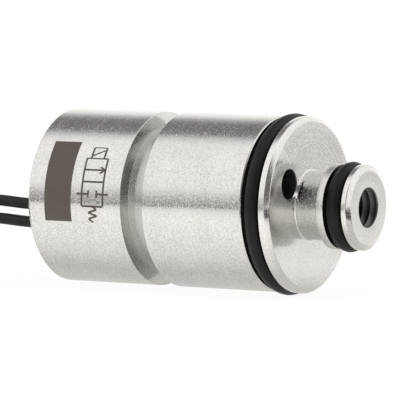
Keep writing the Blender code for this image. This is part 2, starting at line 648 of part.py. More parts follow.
def build_lead_coil():
    """The coil that holds the rest of both leads, its tie, and the bare ends that stand out of it."""
    outer_turn = COIL_INNER_TURN_RADIUS + COIL_PITCH * COIL_TURNS
    outer = outer_turn + LEAD_RADIUS + COIL_MARGIN
    inner = COIL_INNER_TURN_RADIUS - LEAD_RADIUS - COIL_MARGIN
    height = LEAD_DIAMETER + (COIL_LAYERS - 1) * COIL_PITCH
    floor = COIL_LIFT - AXIS_HEIGHT
    centre = Vector((COIL_CENTRE_X, -outer_turn, floor))
    upright = (0, -pi / 2, 0)
    edge = LEAD_RADIUS / 2
    outline = [
        (0.0, inner),
        (0.0, outer - edge),
        (edge, outer),
        (height - edge, outer),
        (height, outer - edge),
        (height, inner),
    ]
    make_object("lead_coil", turned(outline), LEAD_PLASTIC, centre, upright)

    gap = TIE_GAP + TIE_THICKNESS
    band = [(inner - gap, -gap), (outer + gap, -gap)]
    band += [(outer + gap, height + gap), (inner - gap, height + gap)]
    opening = [(inner - TIE_GAP, -TIE_GAP), (outer + TIE_GAP, -TIE_GAP)]
    opening += [(outer + TIE_GAP, height + TIE_GAP), (inner - TIE_GAP, height + TIE_GAP)]
    facing = (0, 0, TIE_ANGLE - pi / 2)
    tie = make_object("lead_tie", extruded(band, TIE_WIDTH / 2, -TIE_WIDTH / 2), TIE_PLASTIC, centre, facing)
    hollow = extruded(opening, TIE_WIDTH / 2 + CUT_OVERRUN, -TIE_WIDTH / 2 - CUT_OVERRUN)
    cut(tie, "tie_opening", hollow, centre, facing)

    whole_turns = 2 * COIL_TURNS + 0.5
    clear_radius = outer + BARE_END_DIAMETER / 2 + CORD_GAP
    for number, layer in ((1, 1), (2, 3)):
        last_angle = pi / 2 + 2 * pi * whole_turns + (number - 1) * pi / 3
        tail = sqrt(clear_radius**2 - outer_turn**2)
        out = Vector((cos(last_angle), sin(last_angle), 0.0))
        along = Vector((-out.y, out.x, 0.0))
        level = Vector((0.0, 0.0, LEAD_RADIUS + layer * COIL_PITCH))
        place = centre + level + outer_turn * out + tail * along
        stub = rod(BARE_END_LENGTH, 0.0, BARE_END_DIAMETER, SMALL_SIDES // 2)
        make_object(f"lead_end_{number}", stub, TINNED, place, (0, 0, last_angle + pi / 2))


clear_scene()
AXIS = bpy.data.objects.new("valve_axis", None)
AXIS.location = (-MIDDLE, 0.0, AXIS_HEIGHT)
bpy.context.scene.collection.objects.link(AXIS)

BODY_STEEL = finish("satin_turned_steel", (0.66, 0.66, 0.65), 0.34, 1.0)
FACE_STEEL = finish("bright_turned_steel", (0.72, 0.72, 0.71), 0.22, 1.0)
MAGNET_STEEL = finish("soft_magnetic_steel", (0.55, 0.55, 0.55), 0.35, 1.0)
SPRING_STEEL = finish("spring_steel", (0.45, 0.45, 0.46), 0.30, 1.0)
BRASS = finish("brass", (0.72, 0.56, 0.26), 0.30, 1.0)
COPPER = finish("enamelled_copper", (0.55, 0.22, 0.08), 0.35, 1.0)
RUBBER = finish("black_rubber", (0.012, 0.012, 0.013), 0.55, 0.0)
NYLON = finish("natural_nylon", (0.70, 0.66, 0.56), 0.50, 0.0)
TAPE = finish("amber_tape", (0.55, 0.33, 0.06), 0.35, 0.0)
CAP_PLASTIC = finish("black_cap_plastic", (0.020, 0.020, 0.021), 0.45, 0.0)
LEAD_PLASTIC = finish("black_lead_insulation", (0.015, 0.015, 0.016), 0.45, 0.0)
TIE_PLASTIC = finish("white_tie", (0.75, 0.75, 0.72), 0.45, 0.0)
TINNED = finish("tinned_copper", (0.70, 0.70, 0.70), 0.28, 1.0)

build_housing()
build_seat_body()
build_o_rings()
build_plunger()
build_spring()
build_core()
build_guide_tube()
build_coil()
build_washer()
build_end_cap()
build_retaining_ring()
build_leads()
build_lead_coil()
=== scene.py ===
import json
import logging
from collections.abc import Callable, Iterable
from dataclasses import dataclass, field, replace
from enum import Enum
from math import atan2, cos, pi, radians, sin, tan

import bpy
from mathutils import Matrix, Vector


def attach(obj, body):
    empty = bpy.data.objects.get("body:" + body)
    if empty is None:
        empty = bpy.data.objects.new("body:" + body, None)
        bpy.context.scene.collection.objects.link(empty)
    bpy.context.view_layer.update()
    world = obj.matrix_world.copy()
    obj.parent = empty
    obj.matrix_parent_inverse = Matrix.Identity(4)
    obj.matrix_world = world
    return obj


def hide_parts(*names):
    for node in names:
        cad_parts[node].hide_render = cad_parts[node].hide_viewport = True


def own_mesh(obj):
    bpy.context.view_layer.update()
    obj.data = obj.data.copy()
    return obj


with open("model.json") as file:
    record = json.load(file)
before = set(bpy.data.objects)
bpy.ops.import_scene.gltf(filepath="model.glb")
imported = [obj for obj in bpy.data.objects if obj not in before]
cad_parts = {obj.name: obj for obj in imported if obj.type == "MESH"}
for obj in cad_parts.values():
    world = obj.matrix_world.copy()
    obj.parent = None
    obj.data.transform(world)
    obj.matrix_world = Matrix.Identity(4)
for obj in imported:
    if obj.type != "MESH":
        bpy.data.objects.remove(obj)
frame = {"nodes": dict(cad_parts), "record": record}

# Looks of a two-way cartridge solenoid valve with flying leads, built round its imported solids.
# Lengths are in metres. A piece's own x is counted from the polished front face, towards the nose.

LOG = logging.getLogger("cartridge_valve")
SMOOTH_ANGLE = radians(32)
BEVEL_ANGLE = radians(50)
MERGE_DISTANCE = 1e-7
FACE_SLACK = 1e-5
SEED_SIZE = 0.001
CUT_PAST = 0.0005
SOFTEN_LIMIT = 0.45
FLAT_FACE_WEIGHT = 100
NOISE_ROUGHNESS = 0.55
SOFT_NOISE, SHARP_NOISE = 2.0, 3.0
UNSTRETCHED = (1.0, 1.0, 1.0)
WHITE = (1.0, 1.0, 1.0, 1.0)
LEAD_RADIUS = 0.0005

Piece = bpy.types.Object
Node = bpy.types.Node
Socket = bpy.types.NodeSocket
Material = bpy.types.Material
Colour = tuple[float, float, float]
Feed = Socket | tuple[float, ...] | float
Spot = tuple[float, float]


class Body(Enum):
    """The bodies of the valve that a piece can ride on."""

    VALVE = "valve"
    PLUNGER = "plunger"


@dataclass(frozen=True)
class Datum:
    """Where the valve lies: its axis runs along X at a height over the floor."""

    face: float
    height: float

    @classmethod
    def read(cls, record: dict) -> "Datum":
        """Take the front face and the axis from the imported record."""
        place = next(mount["pos_m"] for mount in record["mounts"] if mount["name"] == "front_face")
        return cls(face=place[0], height=place[2])

    def place(self, x: float, y: float = 0.0, z: float = 0.0) -> Vector:
        """The world place of a point in the valve's own frame."""
        return Vector((self.face + x, y, self.height + z))

    def around(self, radius: float, angle: float) -> Vector:
        """The world place of a point round the axis, with the angle from straight up towards -Y."""
        return self.place(0.0, -radius * sin(angle), radius * cos(angle))


@dataclass
class Outline:
    """An outline of two coordinates, drawn corner by corner, whose corners may be softened."""

    corners: list[tuple[Vector, float]] = field(default_factory=list)

    def to(self, across: float, up: float, soften: float = 0.0) -> "Outline":
        """Go on to a corner, which a round of this reach softens."""
        self.corners.append((Vector((across, up)), soften))
        return self

    def through(self, *corners: tuple[float, ...]) -> "Outline":
        """Go on through corners.

        Args:
            corners: Each corner's two coordinates, and the reach of the round that softens it, if any.

        Returns:
            The outline itself.
        """
        for corner in corners:
            self.to(*corner)
        return self

    @classmethod
    def rod(cls, front: float, rear: float, radius: float) -> "Outline":
        """Draw half of a rod's section, from its axis outwards."""
        return cls().through((front, 0.0), (front, radius), (rear, radius), (rear, 0.0))

    def arc(self, centre: Spot, radius: float, start: float, end: float, steps: int) -> "Outline":
        """Go on along an arc.

        Args:
            centre: The arc's middle.
            radius: The arc's radius.
            start: The angle that it starts at.
            end: The angle that it ends at.
            steps: The number of its straight steps.

        Returns:
            The outline itself.
        """
        for step in range(steps + 1):
            angle = start + (end - start) * step / steps
            self.to(centre[0] + radius * cos(angle), centre[1] + radius * sin(angle))
        return self

    def points(self, steps: int = 4) -> list[Vector]:
        """Work out the points of the closed outline.

        Args:
            steps: The number of straight steps in each softened corner.

        Returns:
            The points, in order.
        """
        found = []
        for number, (corner, soften) in enumerate(self.corners):
            if soften == 0:
                found.append(corner)
                continue
            before = self.corners[number - 1][0] - corner
            after = self.corners[(number + 1) % len(self.corners)][0] - corner
            reach = min(soften, SOFTEN_LIMIT * before.length, SOFTEN_LIMIT * after.length)
            first = corner + before.normalized() * reach
            last = corner + after.normalized() * reach
            for step in range(steps + 1):
                share = step / steps
                found.append(first * (1 - share) ** 2 + corner * 2 * share * (1 - share) + last * share**2)
        return found


@dataclass
class Bench:
    """The modelling moves that the pieces share, each made with Blender's own operators."""

    datum: Datum

    @staticmethod
    def add(primitive: Callable, name: str, stretch: Iterable[float], **settings: object) -> Piece:
        """Add a primitive, stretch it, and make its place and turn its own.

        Args:
            primitive: The operator that adds it.
            name: Its name.
            stretch: How far it is stretched along its own axes.
            settings: The operator's settings.

        Returns:
            The primitive.
        """
        bpy.ops.object.select_all(action="DESELECT")
        primitive(**settings)
        piece = bpy.context.object
        piece.name = piece.data.name = name
        piece.scale = stretch
        bpy.ops.object.transform_apply(location=True, rotation=True, scale=True)
        return piece

    def trace(self, name: str, places: list[Vector]) -> Piece:
        """Draw a closed loop out of one vertex, and leave it selected in edit mode.

        Args:
            name: The piece's name.
            places: The loop's corners.

        Returns:
            The new piece.
        """
        plane = bpy.ops.mesh.primitive_plane_add
        piece = self.add(plane, name, UNSTRETCHED, size=SEED_SIZE, location=places[0])
        bpy.ops.object.mode_set(mode="EDIT")
        bpy.ops.mesh.select_all(action="SELECT")
        bpy.ops.mesh.merge(type="CENTER")
        for here, there in zip(places, [*places[1:], places[0]]):
            bpy.ops.mesh.extrude_vertices_move(TRANSFORM_OT_translate={"value": there - here})
        bpy.ops.mesh.select_all(action="SELECT")
        return piece

    def close_up(self) -> None:
        """Merge doubles, turn the faces outwards and leave edit mode."""
        bpy.ops.mesh.select_all(action="SELECT")
        bpy.ops.mesh.remove_doubles(threshold=MERGE_DISTANCE)
        bpy.ops.mesh.normals_make_consistent(inside=False)
        bpy.ops.object.mode_set(mode="OBJECT")

    def lathe(self, name: str, outline: Outline, sides: int, axis: Vector | None = None) -> Piece:
        """Spin an (x, radius) outline about the valve's axis, or one beside it.

        Args:
            name: The piece's name.
            outline: The closed outline.
            sides: The number of sides round the axis.
            axis: A place on the axis, if it isn't the valve's own.

        Returns:
            The turned piece.
        """
        middle = axis or self.datum.place(0.0)
        piece = self.trace(name, [middle + Vector((point.x, 0.0, point.y)) for point in outline.points()])
        bpy.ops.mesh.spin(steps=sides, angle=2 * pi, center=middle, axis=(1, 0, 0))
        self.close_up()
        return piece

    def plate(self, name: str, outline: Outline, front: float, rear: float) -> Piece:
        """Extrude a (y, z) outline along X.

        Args:
            name: The piece's name.
            outline: The closed outline.
            front: The x of its front.
            rear: The x of its rear.

        Returns:
            The extruded piece.
        """
        piece = self.trace(name, [self.datum.place(front, point.x, point.y) for point in outline.points()])
        bpy.ops.mesh.remove_doubles(threshold=MERGE_DISTANCE)
        bpy.ops.mesh.edge_face_add()
        bpy.ops.mesh.extrude_region_move(TRANSFORM_OT_translate={"value": (rear - front, 0.0, 0.0)})
        self.close_up()
        return piece

    def choose(self, *pieces: Piece) -> None:
        """Select pieces alone.

        Args:
            pieces: The pieces, of which the first becomes the active one.
        """
        bpy.ops.object.select_all(action="DESELECT")
        for piece in pieces:
            piece.select_set(True)
        bpy.context.view_layer.objects.active = pieces[0]

    def apply(self, piece: Piece, kind: str, **settings: object) -> None:
        """Add a modifier to a piece and apply it at once.

        Args:
            piece: The piece.
            kind: The modifier's type.
            settings: Its settings.
        """
        self.choose(piece)
        modifier = piece.modifiers.new(kind.title(), kind)
        for key, value in settings.items():
            setattr(modifier, key, value)
        bpy.ops.object.modifier_apply(modifier=modifier.name)

    def bevel(self, piece: Piece, width: float, segments: int) -> None:
        """Soften the sharp edges of a piece."""
        limit = {"limit_method": "ANGLE", "angle_limit": BEVEL_ANGLE}
        self.apply(piece, "BEVEL", width=width, segments=segments, **limit)

    def cut(self, piece: Piece, cutter: Piece) -> None:
        """Take a cutter away from a piece, and remove the cutter."""
        self.apply(piece, "BOOLEAN", operation="DIFFERENCE", solver="EXACT", object=cutter)
        bpy.data.objects.remove(cutter)

    def drill(self, piece: Piece, hole: Outline, sides: int, axis: Vector) -> None:
        """Cut a turned hole into a piece, about an axis through this place."""
        self.cut(piece, self.lathe("drill", hole, sides, axis))

    def join(self, name: str, pieces: list[Piece]) -> Piece:
        """Join pieces into one.

        Args:
            name: The name of the whole.
            pieces: The pieces.

        Returns:
            The whole.
        """
        self.choose(*pieces)
        bpy.ops.object.join()
        joined = bpy.context.object
        joined.name = joined.data.name = name
        return joined

    def smooth(self, piece: Piece) -> Piece:
        """Shade a piece smooth, with flat faces that stay even next to small rounds.

        Args:
            piece: The piece.

        Returns:
            The same piece.
        """
        self.choose(piece)
        bpy.ops.object.shade_smooth_by_angle(angle=SMOOTH_ANGLE)
        self.apply(piece, "WEIGHTED_NORMAL", keep_sharp=True, weight=FLAT_FACE_WEIGHT)
        return piece

    def tube(self, name: str, places: list[Vector], radius: float, rounding: int) -> Piece:
        """Make a round curve along places, with closed ends.

        Args:
            name: The piece's name.
            places: The points of its centreline.
            radius: Its radius.
            rounding: The curve's bevel resolution.

        Returns:
            The curve.
        """
        curve = bpy.data.curves.new(name, "CURVE")
        curve.dimensions = "3D"
        curve.bevel_depth = radius
        curve.bevel_resolution = rounding
        curve.use_fill_caps = True
        line = curve.splines.new("POLY")
        line.points.add(len(places) - 1)
        for point, place in zip(line.points, places):
            point.co = (*place, 1.0)
        line.use_smooth = True
        piece = bpy.data.objects.new(name, curve)
        bpy.context.scene.collection.objects.link(piece)
        return piece

    def as_mesh(self, piece: Piece) -> Piece:
        """Turn a curve into a mesh.

        Args:
            piece: The curve.

        Returns:
            The mesh.
        """
        self.choose(piece)
        bpy.ops.object.convert(target="MESH")
        return bpy.context.object


@dataclass
class Graph:
    """A shader node tree, grown one node at a time."""

    tree: bpy.types.NodeTree

    def add(self, kind: str, feeds: dict[str | int, Feed] | None = None, **settings: object) -> Node:
        """Add a node.

        Args:
            kind: The node's type.
            feeds: What goes into its sockets, by name or number: another socket, or a value.
            settings: The node's own settings.

        Returns:
            The node.
        """
        node = self.tree.nodes.new(kind)
        for key, value in settings.items():
            setattr(node, key, value)
        for key, value in (feeds or {}).items():
            self.feed(node.inputs[key], value)
        return node

    def feed(self, socket: Socket, value: Feed) -> None:
        """Link a socket to another one, or set its value.

        Args:
            socket: The socket.
            value: The other socket, or the value.
        """
        if isinstance(value, Socket):
            self.tree.links.new(value, socket)
        else:
            socket.default_value = value

    def math(self, operation: str, first: Feed, second: Feed = 0.0, third: Feed = 0.0) -> Socket:
        """Add a Math node and give its result."""
        return self.add("ShaderNodeMath", {0: first, 1: second, 2: third}, operation=operation).outputs[0]

    def parts(self, vector: Socket) -> bpy.types.NodeOutputs:
        """Split a vector into its X, Y and Z."""
        return self.add("ShaderNodeSeparateXYZ", {0: vector}).outputs

    def noise(self, vector: Socket, scale: float, detail: float) -> Socket:
        """Add a noise texture and give its value."""
        feeds = {"Vector": vector, "Scale": scale, "Detail": detail, "Roughness": NOISE_ROUGHNESS}
        return self.add("ShaderNodeTexNoise", feeds).outputs["Fac"]

    def between(self, value: Feed, low: float, high: float, start: float = 0.25, end: float = 0.75) -> Socket:
        """Map a value from the range of start and end to that of low and high."""
        feeds = {"Value": value, "From Min": start, "From Max": end, "To Min": low, "To Max": high}
        return self.add("ShaderNodeMapRange", feeds).outputs["Result"]

    def blend(self, share: Feed, first: Feed, second: Feed) -> Socket:
        """Mix two colours by a share."""
        return self.add("ShaderNodeMix", {0: share, 6: first, 7: second}, data_type="RGBA").outputs[2]

    def ramp(self, share: Feed, stops: Iterable[tuple[float, float]], tint: Colour) -> Socket:
        """Run through tones of a tint by a share.

        Args:
            share: The share.
            stops: At least two shares, in rising order, with their tones.
            tint: The colour of a tone of 1.

        Returns:
            The colour.
        """
        node = self.add("ShaderNodeValToRGB", {0: share})
        elements = node.color_ramp.elements
        stops = list(stops)
        while len(elements) < len(stops):
            elements.new(1.0)
        for element, (position, tone) in zip(elements, stops):
            element.position = position
            element.color = (*(part * tone for part in tint), 1.0)
        return node.outputs["Color"]


@dataclass
class Surface(Graph):
    """The node tree of a finish, with its Principled shader and the place of each point on it."""

    axis_height: float
    shader: Node = field(init=False)
    place: Socket = field(init=False)

    def __post_init__(self) -> None:
        """Find the shader, and add the node that gives the place."""
        self.shader = self.tree.nodes["Principled BSDF"]
        self.place = self.add("ShaderNodeTexCoord").outputs["Object"]

    def set(self, key: str, value: Feed) -> None:
        """Feed one of the shader's sockets."""
        self.feed(self.shader.inputs[key], value)

    def paint(self, share: Feed, dark: Colour, light: Colour) -> None:
        """Colour the surface from dark to light by a share."""
        self.set("Base Color", self.blend(share, (*dark, 1.0), (*light, 1.0)))

    def grain(self, scale: float, detail: float) -> Socket:
        """Noise by the place on the surface."""
        return self.noise(self.place, scale, detail)

    def lines(self, pitch: float) -> Socket:
        """Lines round the axis, at this pitch along it."""
        turn = self.math("MULTIPLY", self.parts(self.place)["X"], pi / pitch)
        return self.math("ABSOLUTE", self.math("SINE", turn))

    def bump(self, height: Socket, depth: float) -> None:
        """Roughen the surface by a height pattern of this depth."""
        node = self.add("ShaderNodeBump", {"Height": height, "Strength": 1.0, "Distance": depth})
        self.set("Normal", node.outputs["Normal"])


class Finish:
    """A kind of surface, whose colour, roughness and bump come from its nodes."""

    def material(self, name: str, datum: Datum) -> Material:
        """Make the material.

        Args:
            name: The material's name.
            datum: Where the valve's axis lies, for patterns that run round it.

        Returns:
            The material.
        """
        made = bpy.data.materials.new(name)
        made.use_nodes = True
        self.pattern(Surface(made.node_tree, datum.height))
        return made

    def pattern(self, surface: Surface) -> None:
        """Lay the finish's pattern over a surface."""
        raise NotImplementedError


@dataclass(frozen=True)
class TurnedSteel(Finish):
    """Steel as it comes off the lathe: fine rings round the axis, and matt specks on a bright ground."""

    light: Colour = (0.84, 0.83, 0.81)
    dark: Colour = (0.52, 0.515, 0.505)
    tone_start: float = 0.34
    tone_end: float = 0.66
    roughness: float = 0.10
    roughness_spread: float = 0.36
    speck_start: float = 0.46
    speck_end: float = 0.72
    ring_scale: float = 7000.0
    grain_scale: float = 8000.0
    cloud_scale: float = 420.0
    ring_share: float = 0.15
    cloud_share: float = 0.15
    depth: float = 2.4e-6

    def pattern(self, surface: Surface) -> None:
        """Lay rings round the axis, a grain and slow clouds over the steel.

        Args:
            surface: The surface.
        """
        parts = surface.parts(surface.place)
        across = surface.math("SUBTRACT", parts["Z"], surface.axis_height)
        square = surface.math("MULTIPLY_ADD", across, across, surface.math("POWER", parts["Y"], 2.0))
        radius = surface.math("SQRT", square)
        ring_place = surface.add("ShaderNodeCombineXYZ", {0: parts["X"], 1: radius}).outputs[0]
        rings = surface.noise(ring_place, self.ring_scale, SHARP_NOISE)
        grain = surface.grain(self.grain_scale, SOFT_NOISE)
        clouds = surface.grain(self.cloud_scale, SHARP_NOISE)
        mixed = surface.math("MULTIPLY_ADD", surface.math("SUBTRACT", rings, grain), self.ring_share, grain)
        ground = surface.math("MULTIPLY", mixed, 1.0 - self.cloud_share)
        speckle = surface.math("MULTIPLY_ADD", clouds, self.cloud_share, ground)
        tone = surface.between(speckle, 0.0, 1.0, self.tone_start, self.tone_end)
        surface.paint(tone, self.dark, self.light)
        high = self.roughness + self.roughness_spread
        specks = surface.between(mixed, self.roughness, high, self.speck_start, self.speck_end)
        surface.set("Roughness", specks)
        surface.set("Metallic", 1.0)
        surface.bump(mixed, self.depth)


@dataclass(frozen=True)
class Mottled(Finish):
    """A fine grain under slow clouds: moulded rubber or plastic, or drawn and tarnished metal."""

    light: Colour
    dark: Colour
    roughness: float = 0.36
    roughness_spread: float = 0.16
    metallic: float = 0.0
    gloss: float = 0.22
    grain_scale: float = 6000.0
    grain_detail: float = SHARP_NOISE
    cloud_scale: float = 700.0
    cloud_detail: float = SOFT_NOISE
    depth: float = 2.0e-6

    def pattern(self, surface: Surface) -> None:
        """Lay the grain and the clouds over the surface.

        Args:
            surface: The surface.
        """
        grain = surface.grain(self.grain_scale, self.grain_detail)
        clouds = surface.grain(self.cloud_scale, self.cloud_detail)
        surface.paint(surface.between(clouds, 0.0, 1.0), self.dark, self.light)
        high = self.roughness + self.roughness_spread
        surface.set("Roughness", surface.between(grain, self.roughness, high))
        surface.set("Metallic", self.metallic)
        surface.set("Specular IOR Level", self.gloss)
        surface.bump(grain, self.depth)


@dataclass(frozen=True)
class Wound(Finish):
    """Layers wound round the axis, such as enamelled wire or tape."""

    light: Colour = (0.62, 0.27, 0.10)
    dark: Colour = (0.34, 0.12, 0.04)
    lowest_tone: float = 0.7
    roughness: float = 0.28
    roughness_spread: float = 0.14
    metallic: float = 1.0
    grain_scale: float = 3000.0
    pitch: float = 0.00016
    depth: float = 1.2e-5

    def pattern(self, surface: Surface) -> None:
        """Lay turns along the axis over the winding.

        Args:
            surface: The surface.
        """
        turns = surface.lines(self.pitch)
        grain = surface.grain(self.grain_scale, SOFT_NOISE)
        tone = surface.math("MULTIPLY", turns, surface.between(grain, self.lowest_tone, 1.0))
        surface.paint(tone, self.dark, self.light)
        high = self.roughness + self.roughness_spread
        surface.set("Roughness", surface.between(grain, self.roughness, high))
        surface.set("Metallic", self.metallic)
        surface.bump(turns, self.depth)


@dataclass(frozen=True)
class LaserMark(Finish):
    """Steel darkened by a laser that went to and fro in close lines."""

    light: Colour = (0.135, 0.112, 0.098)
    dark: Colour = (0.080, 0.064, 0.055)
    line_share: float = 0.35
    roughness: float = 0.42
    roughness_spread: float = 0.20
    metallic: float = 0.35
    grain_scale: float = 8000.0
    line_pitch: float = 0.00009
    depth: float = 2.0e-6

    def pattern(self, surface: Surface) -> None:
        """Lay the laser's lines and a scatter of lighter spots over the mark.

        Args:
            surface: The surface.
        """
        lines = surface.lines(self.line_pitch)
        grain = surface.grain(self.grain_scale, SHARP_NOISE)
        spots = surface.between(grain, 0.0, 1.0 - self.line_share)
        surface.paint(surface.math("MULTIPLY_ADD", lines, self.line_share, spots), self.dark, self.light)
        high = self.roughness + self.roughness_spread
        surface.set("Roughness", surface.between(grain, self.roughness, high))
        surface.set("Metallic", self.metallic)
        surface.bump(grain, self.depth)


HOUSING_STEEL = TurnedSteel()
FACE_STEEL = TurnedSteel(
    dark=(0.60, 0.595, 0.58), roughness=0.12, roughness_spread=0.20, ring_share=0.25, depth=1.8e-6
)
NECK_STEEL = TurnedSteel(
    light=(0.82, 0.81, 0.79), dark=(0.50, 0.495, 0.48), roughness=0.24, roughness_spread=0.24
)
# Darker steel in the retaining groove: painted shade in the recess, over the grooving tool's stronger rings.
GROOVE_STEEL_PAINTED_SHADE = TurnedSteel(
    light=(0.62, 0.61, 0.59), dark=(0.40, 0.395, 0.385), roughness=0.18, ring_share=0.4
)
# Steel painted dark inside bores, the port and the O-ring's gland: painted shade where little light gets in,
# over the boring tool's rings.
BORE_PAINTED_SHADE_STEEL = TurnedSteel(
    light=(0.25, 0.245, 0.235), dark=(0.11, 0.106, 0.10), roughness=0.34, ring_share=0.8
)
MAGNET_STEEL = TurnedSteel(light=(0.58, 0.58, 0.58), dark=(0.42, 0.42, 0.42), roughness=0.30)
SPRING_STEEL = Mottled(
    light=(0.42, 0.42, 0.43), dark=(0.25, 0.25, 0.27), roughness=0.28, roughness_spread=0.14, metallic=1.0,
    gloss=0.5, grain_scale=9000.0, cloud_scale=900.0, depth=1.2e-6,
)
BRASS = Mottled(
    light=(0.76, 0.58, 0.27), dark=(0.58, 0.40, 0.16), roughness=0.24, roughness_spread=0.12, metallic=1.0,
    gloss=0.5, grain_scale=9000.0, grain_detail=SOFT_NOISE, cloud_scale=1300.0, cloud_detail=SHARP_NOISE,
    depth=1.0e-6,
)
TINNED_STRANDS = replace(BRASS, light=(0.74, 0.74, 0.74), dark=(0.55, 0.54, 0.52), roughness=0.22)
COPPER_WIRE = Wound()
AMBER_TAPE = Wound(light=(0.60, 0.36, 0.07), dark=(0.46, 0.25, 0.04), metallic=0.0, pitch=0.0024, depth=6e-6)
BLACK_RUBBER = Mottled(light=(0.011, 0.011, 0.012), dark=(0.005, 0.005, 0.006), depth=0.8e-6)
CAP_PLASTIC = Mottled(light=(0.026, 0.026, 0.027), dark=(0.014, 0.014, 0.015), depth=3.0e-6)
LEAD_INSULATION = Mottled(
    light=(0.024, 0.024, 0.026), dark=(0.013, 0.013, 0.014), roughness=0.34, grain_scale=4000.0
)
NATURAL_NYLON = Mottled(light=(0.76, 0.74, 0.68), dark=(0.66, 0.63, 0.55), depth=2.5e-6)
MARKED_STEEL = LaserMark()


@dataclass
class Workshop(Bench):
    """The bench, with what gives a piece its finish, its body and the solids that it stands for."""

    materials: dict[str, Material] = field(default_factory=dict)

    def material(self, name: str, finish: Finish) -> Material:
        """Return the material of a finish, made at its first use.

        Args:
            name: The material's name.
            finish: The finish.

        Returns:
            The material.
        """
        if name not in self.materials:
            self.materials[name] = finish.material(name, self.datum)
        return self.materials[name]

    def dress(self, piece: Piece, slot: str, finish: Finish, name: str = "") -> None:
        """Lay a finish on a piece.

        Args:
            piece: The piece, new or carried over from the solids.
            slot: The record's slot that the finish belongs to.
            finish: The finish.
            name: The material's name, if it isn't the slot's.
        """
        material = self.material(name or slot, finish)
        piece.data.materials.clear()
        piece.data.materials.append(material)

    def dress_faces(self, piece: Piece, finish: Finish, name: str, chosen: Callable[[Vector], bool]) -> None:
        """Lay a second finish on some faces of a piece.

        Args:
            piece: The piece, which has its first finish already.
            finish: The second finish.
            name: The material's name.
            chosen: Tells from a face's middle, in the valve's own frame, whether the finish goes on it.
        """
        piece.data.materials.append(self.material(name, finish))
        origin = self.datum.place(0.0)
        for face in piece.data.polygons:
            if chosen(face.center - origin):
                face.material_index = len(piece.data.materials) - 1

    def fit(self, piece: Piece, body: Body, *nodes: str) -> None:
        """Let a piece ride on a body, and report it.

        Args:
            piece: The piece.
            body: The body.
            nodes: The solids that the piece replaces.
        """
        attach(piece, body.value)
        if nodes:
            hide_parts(*nodes)
        LOG.info("piece %s on %s for %s", piece.name, body.value, ", ".join(nodes) or "no solid")

    def deliver(self, piece: Piece, slot: str, finish: Finish, *nodes: str) -> None:
        """Dress a piece of one finish, and fit it to the valve in place of these solids."""
        self.dress(piece, slot, finish)
        self.fit(piece, Body.VALVE, *nodes)


@dataclass
class SubAssembly:
    """Pieces that one workshop builds together."""

    shop: Workshop


@dataclass
class Housing(SubAssembly):
    """The turned sleeve with its retaining groove."""

    front: float = -0.002551
    rear: float = -0.023751
    radius: float = 0.0075
    bore_radius: float = 0.0054
    groove_front: float = -0.012221
    groove_rear: float = -0.014351
    groove_radius: float = 0.00623
    recess_floor: float = -0.021651
    recess_radius: float = 0.0064
    clip_groove_front: float = -0.022671
    clip_groove_rear: float = -0.023341
    clip_groove_radius: float = 0.00675
    front_edge: float = 0.00010
    rear_edge: float = 0.00025
    groove_edge: float = 0.00006
    groove_corner: float = 0.00004
    rear_round: float = 0.00006
    fine_round: float = 0.00003
    face_slack: float = 1e-6
    sides: int = 240

    def outline(self) -> Outline:
        """Draw the sleeve from its front over the outside and back through the bore.

        Returns:
            The outline.
        """
        return Outline().through(
            (self.front, self.bore_radius),
            (self.front, self.radius - self.front_edge, self.fine_round),
            (self.front - self.front_edge, self.radius, self.fine_round),
            (self.groove_front, self.radius, self.groove_edge),
            (self.groove_front, self.groove_radius, self.groove_corner),
            (self.groove_rear, self.groove_radius, self.groove_corner),
            (self.groove_rear, self.radius, self.groove_edge),
            (self.rear + self.rear_edge, self.radius, self.rear_round),
            (self.rear, self.radius - self.rear_edge, self.rear_round),
            (self.rear, self.recess_radius, self.rear_round),
            (self.clip_groove_rear, self.recess_radius, self.fine_round),
            (self.clip_groove_rear, self.clip_groove_radius),
            (self.clip_groove_front, self.clip_groove_radius),
            (self.clip_groove_front, self.recess_radius, self.fine_round),
            (self.recess_floor, self.recess_radius),
            (self.recess_floor, self.bore_radius),
        )

    def in_groove(self, spot: Vector) -> bool:
        """Tell whether a face is inside the retaining groove."""
        lowered = spot.yz.length < self.radius - self.groove_edge
        return self.groove_rear <= spot.x <= self.groove_front and lowered

    def in_gland(self, spot: Vector) -> bool:
        """Tell whether a face closes the body O-ring's gland, in the ring's shade."""
        return spot.x > self.front - self.face_slack and spot.yz.length < self.radius - self.front_edge

    def make(self) -> Piece:
        """Turn the sleeve and dress it: its groove with the marks of the grooving tool under painted shade,
        and its gland face with painted shade.

        Returns:
            The sleeve.
        """
        piece = self.shop.smooth(self.shop.lathe("turned_housing", self.outline(), self.sides))
        self.shop.dress(piece, "housing_steel", HOUSING_STEEL)
        # Painted shade: darker steel in the retaining groove.
        self.shop.dress_faces(piece, GROOVE_STEEL_PAINTED_SHADE, "groove_steel", self.in_groove)
        # Painted shade on the gland face, where the O-ring shades it.
        self.shop.dress_faces(piece, BORE_PAINTED_SHADE_STEEL, "bored_steel", self.in_gland)
        self.shop.fit(piece, Body.VALVE, "housing")
        return piece


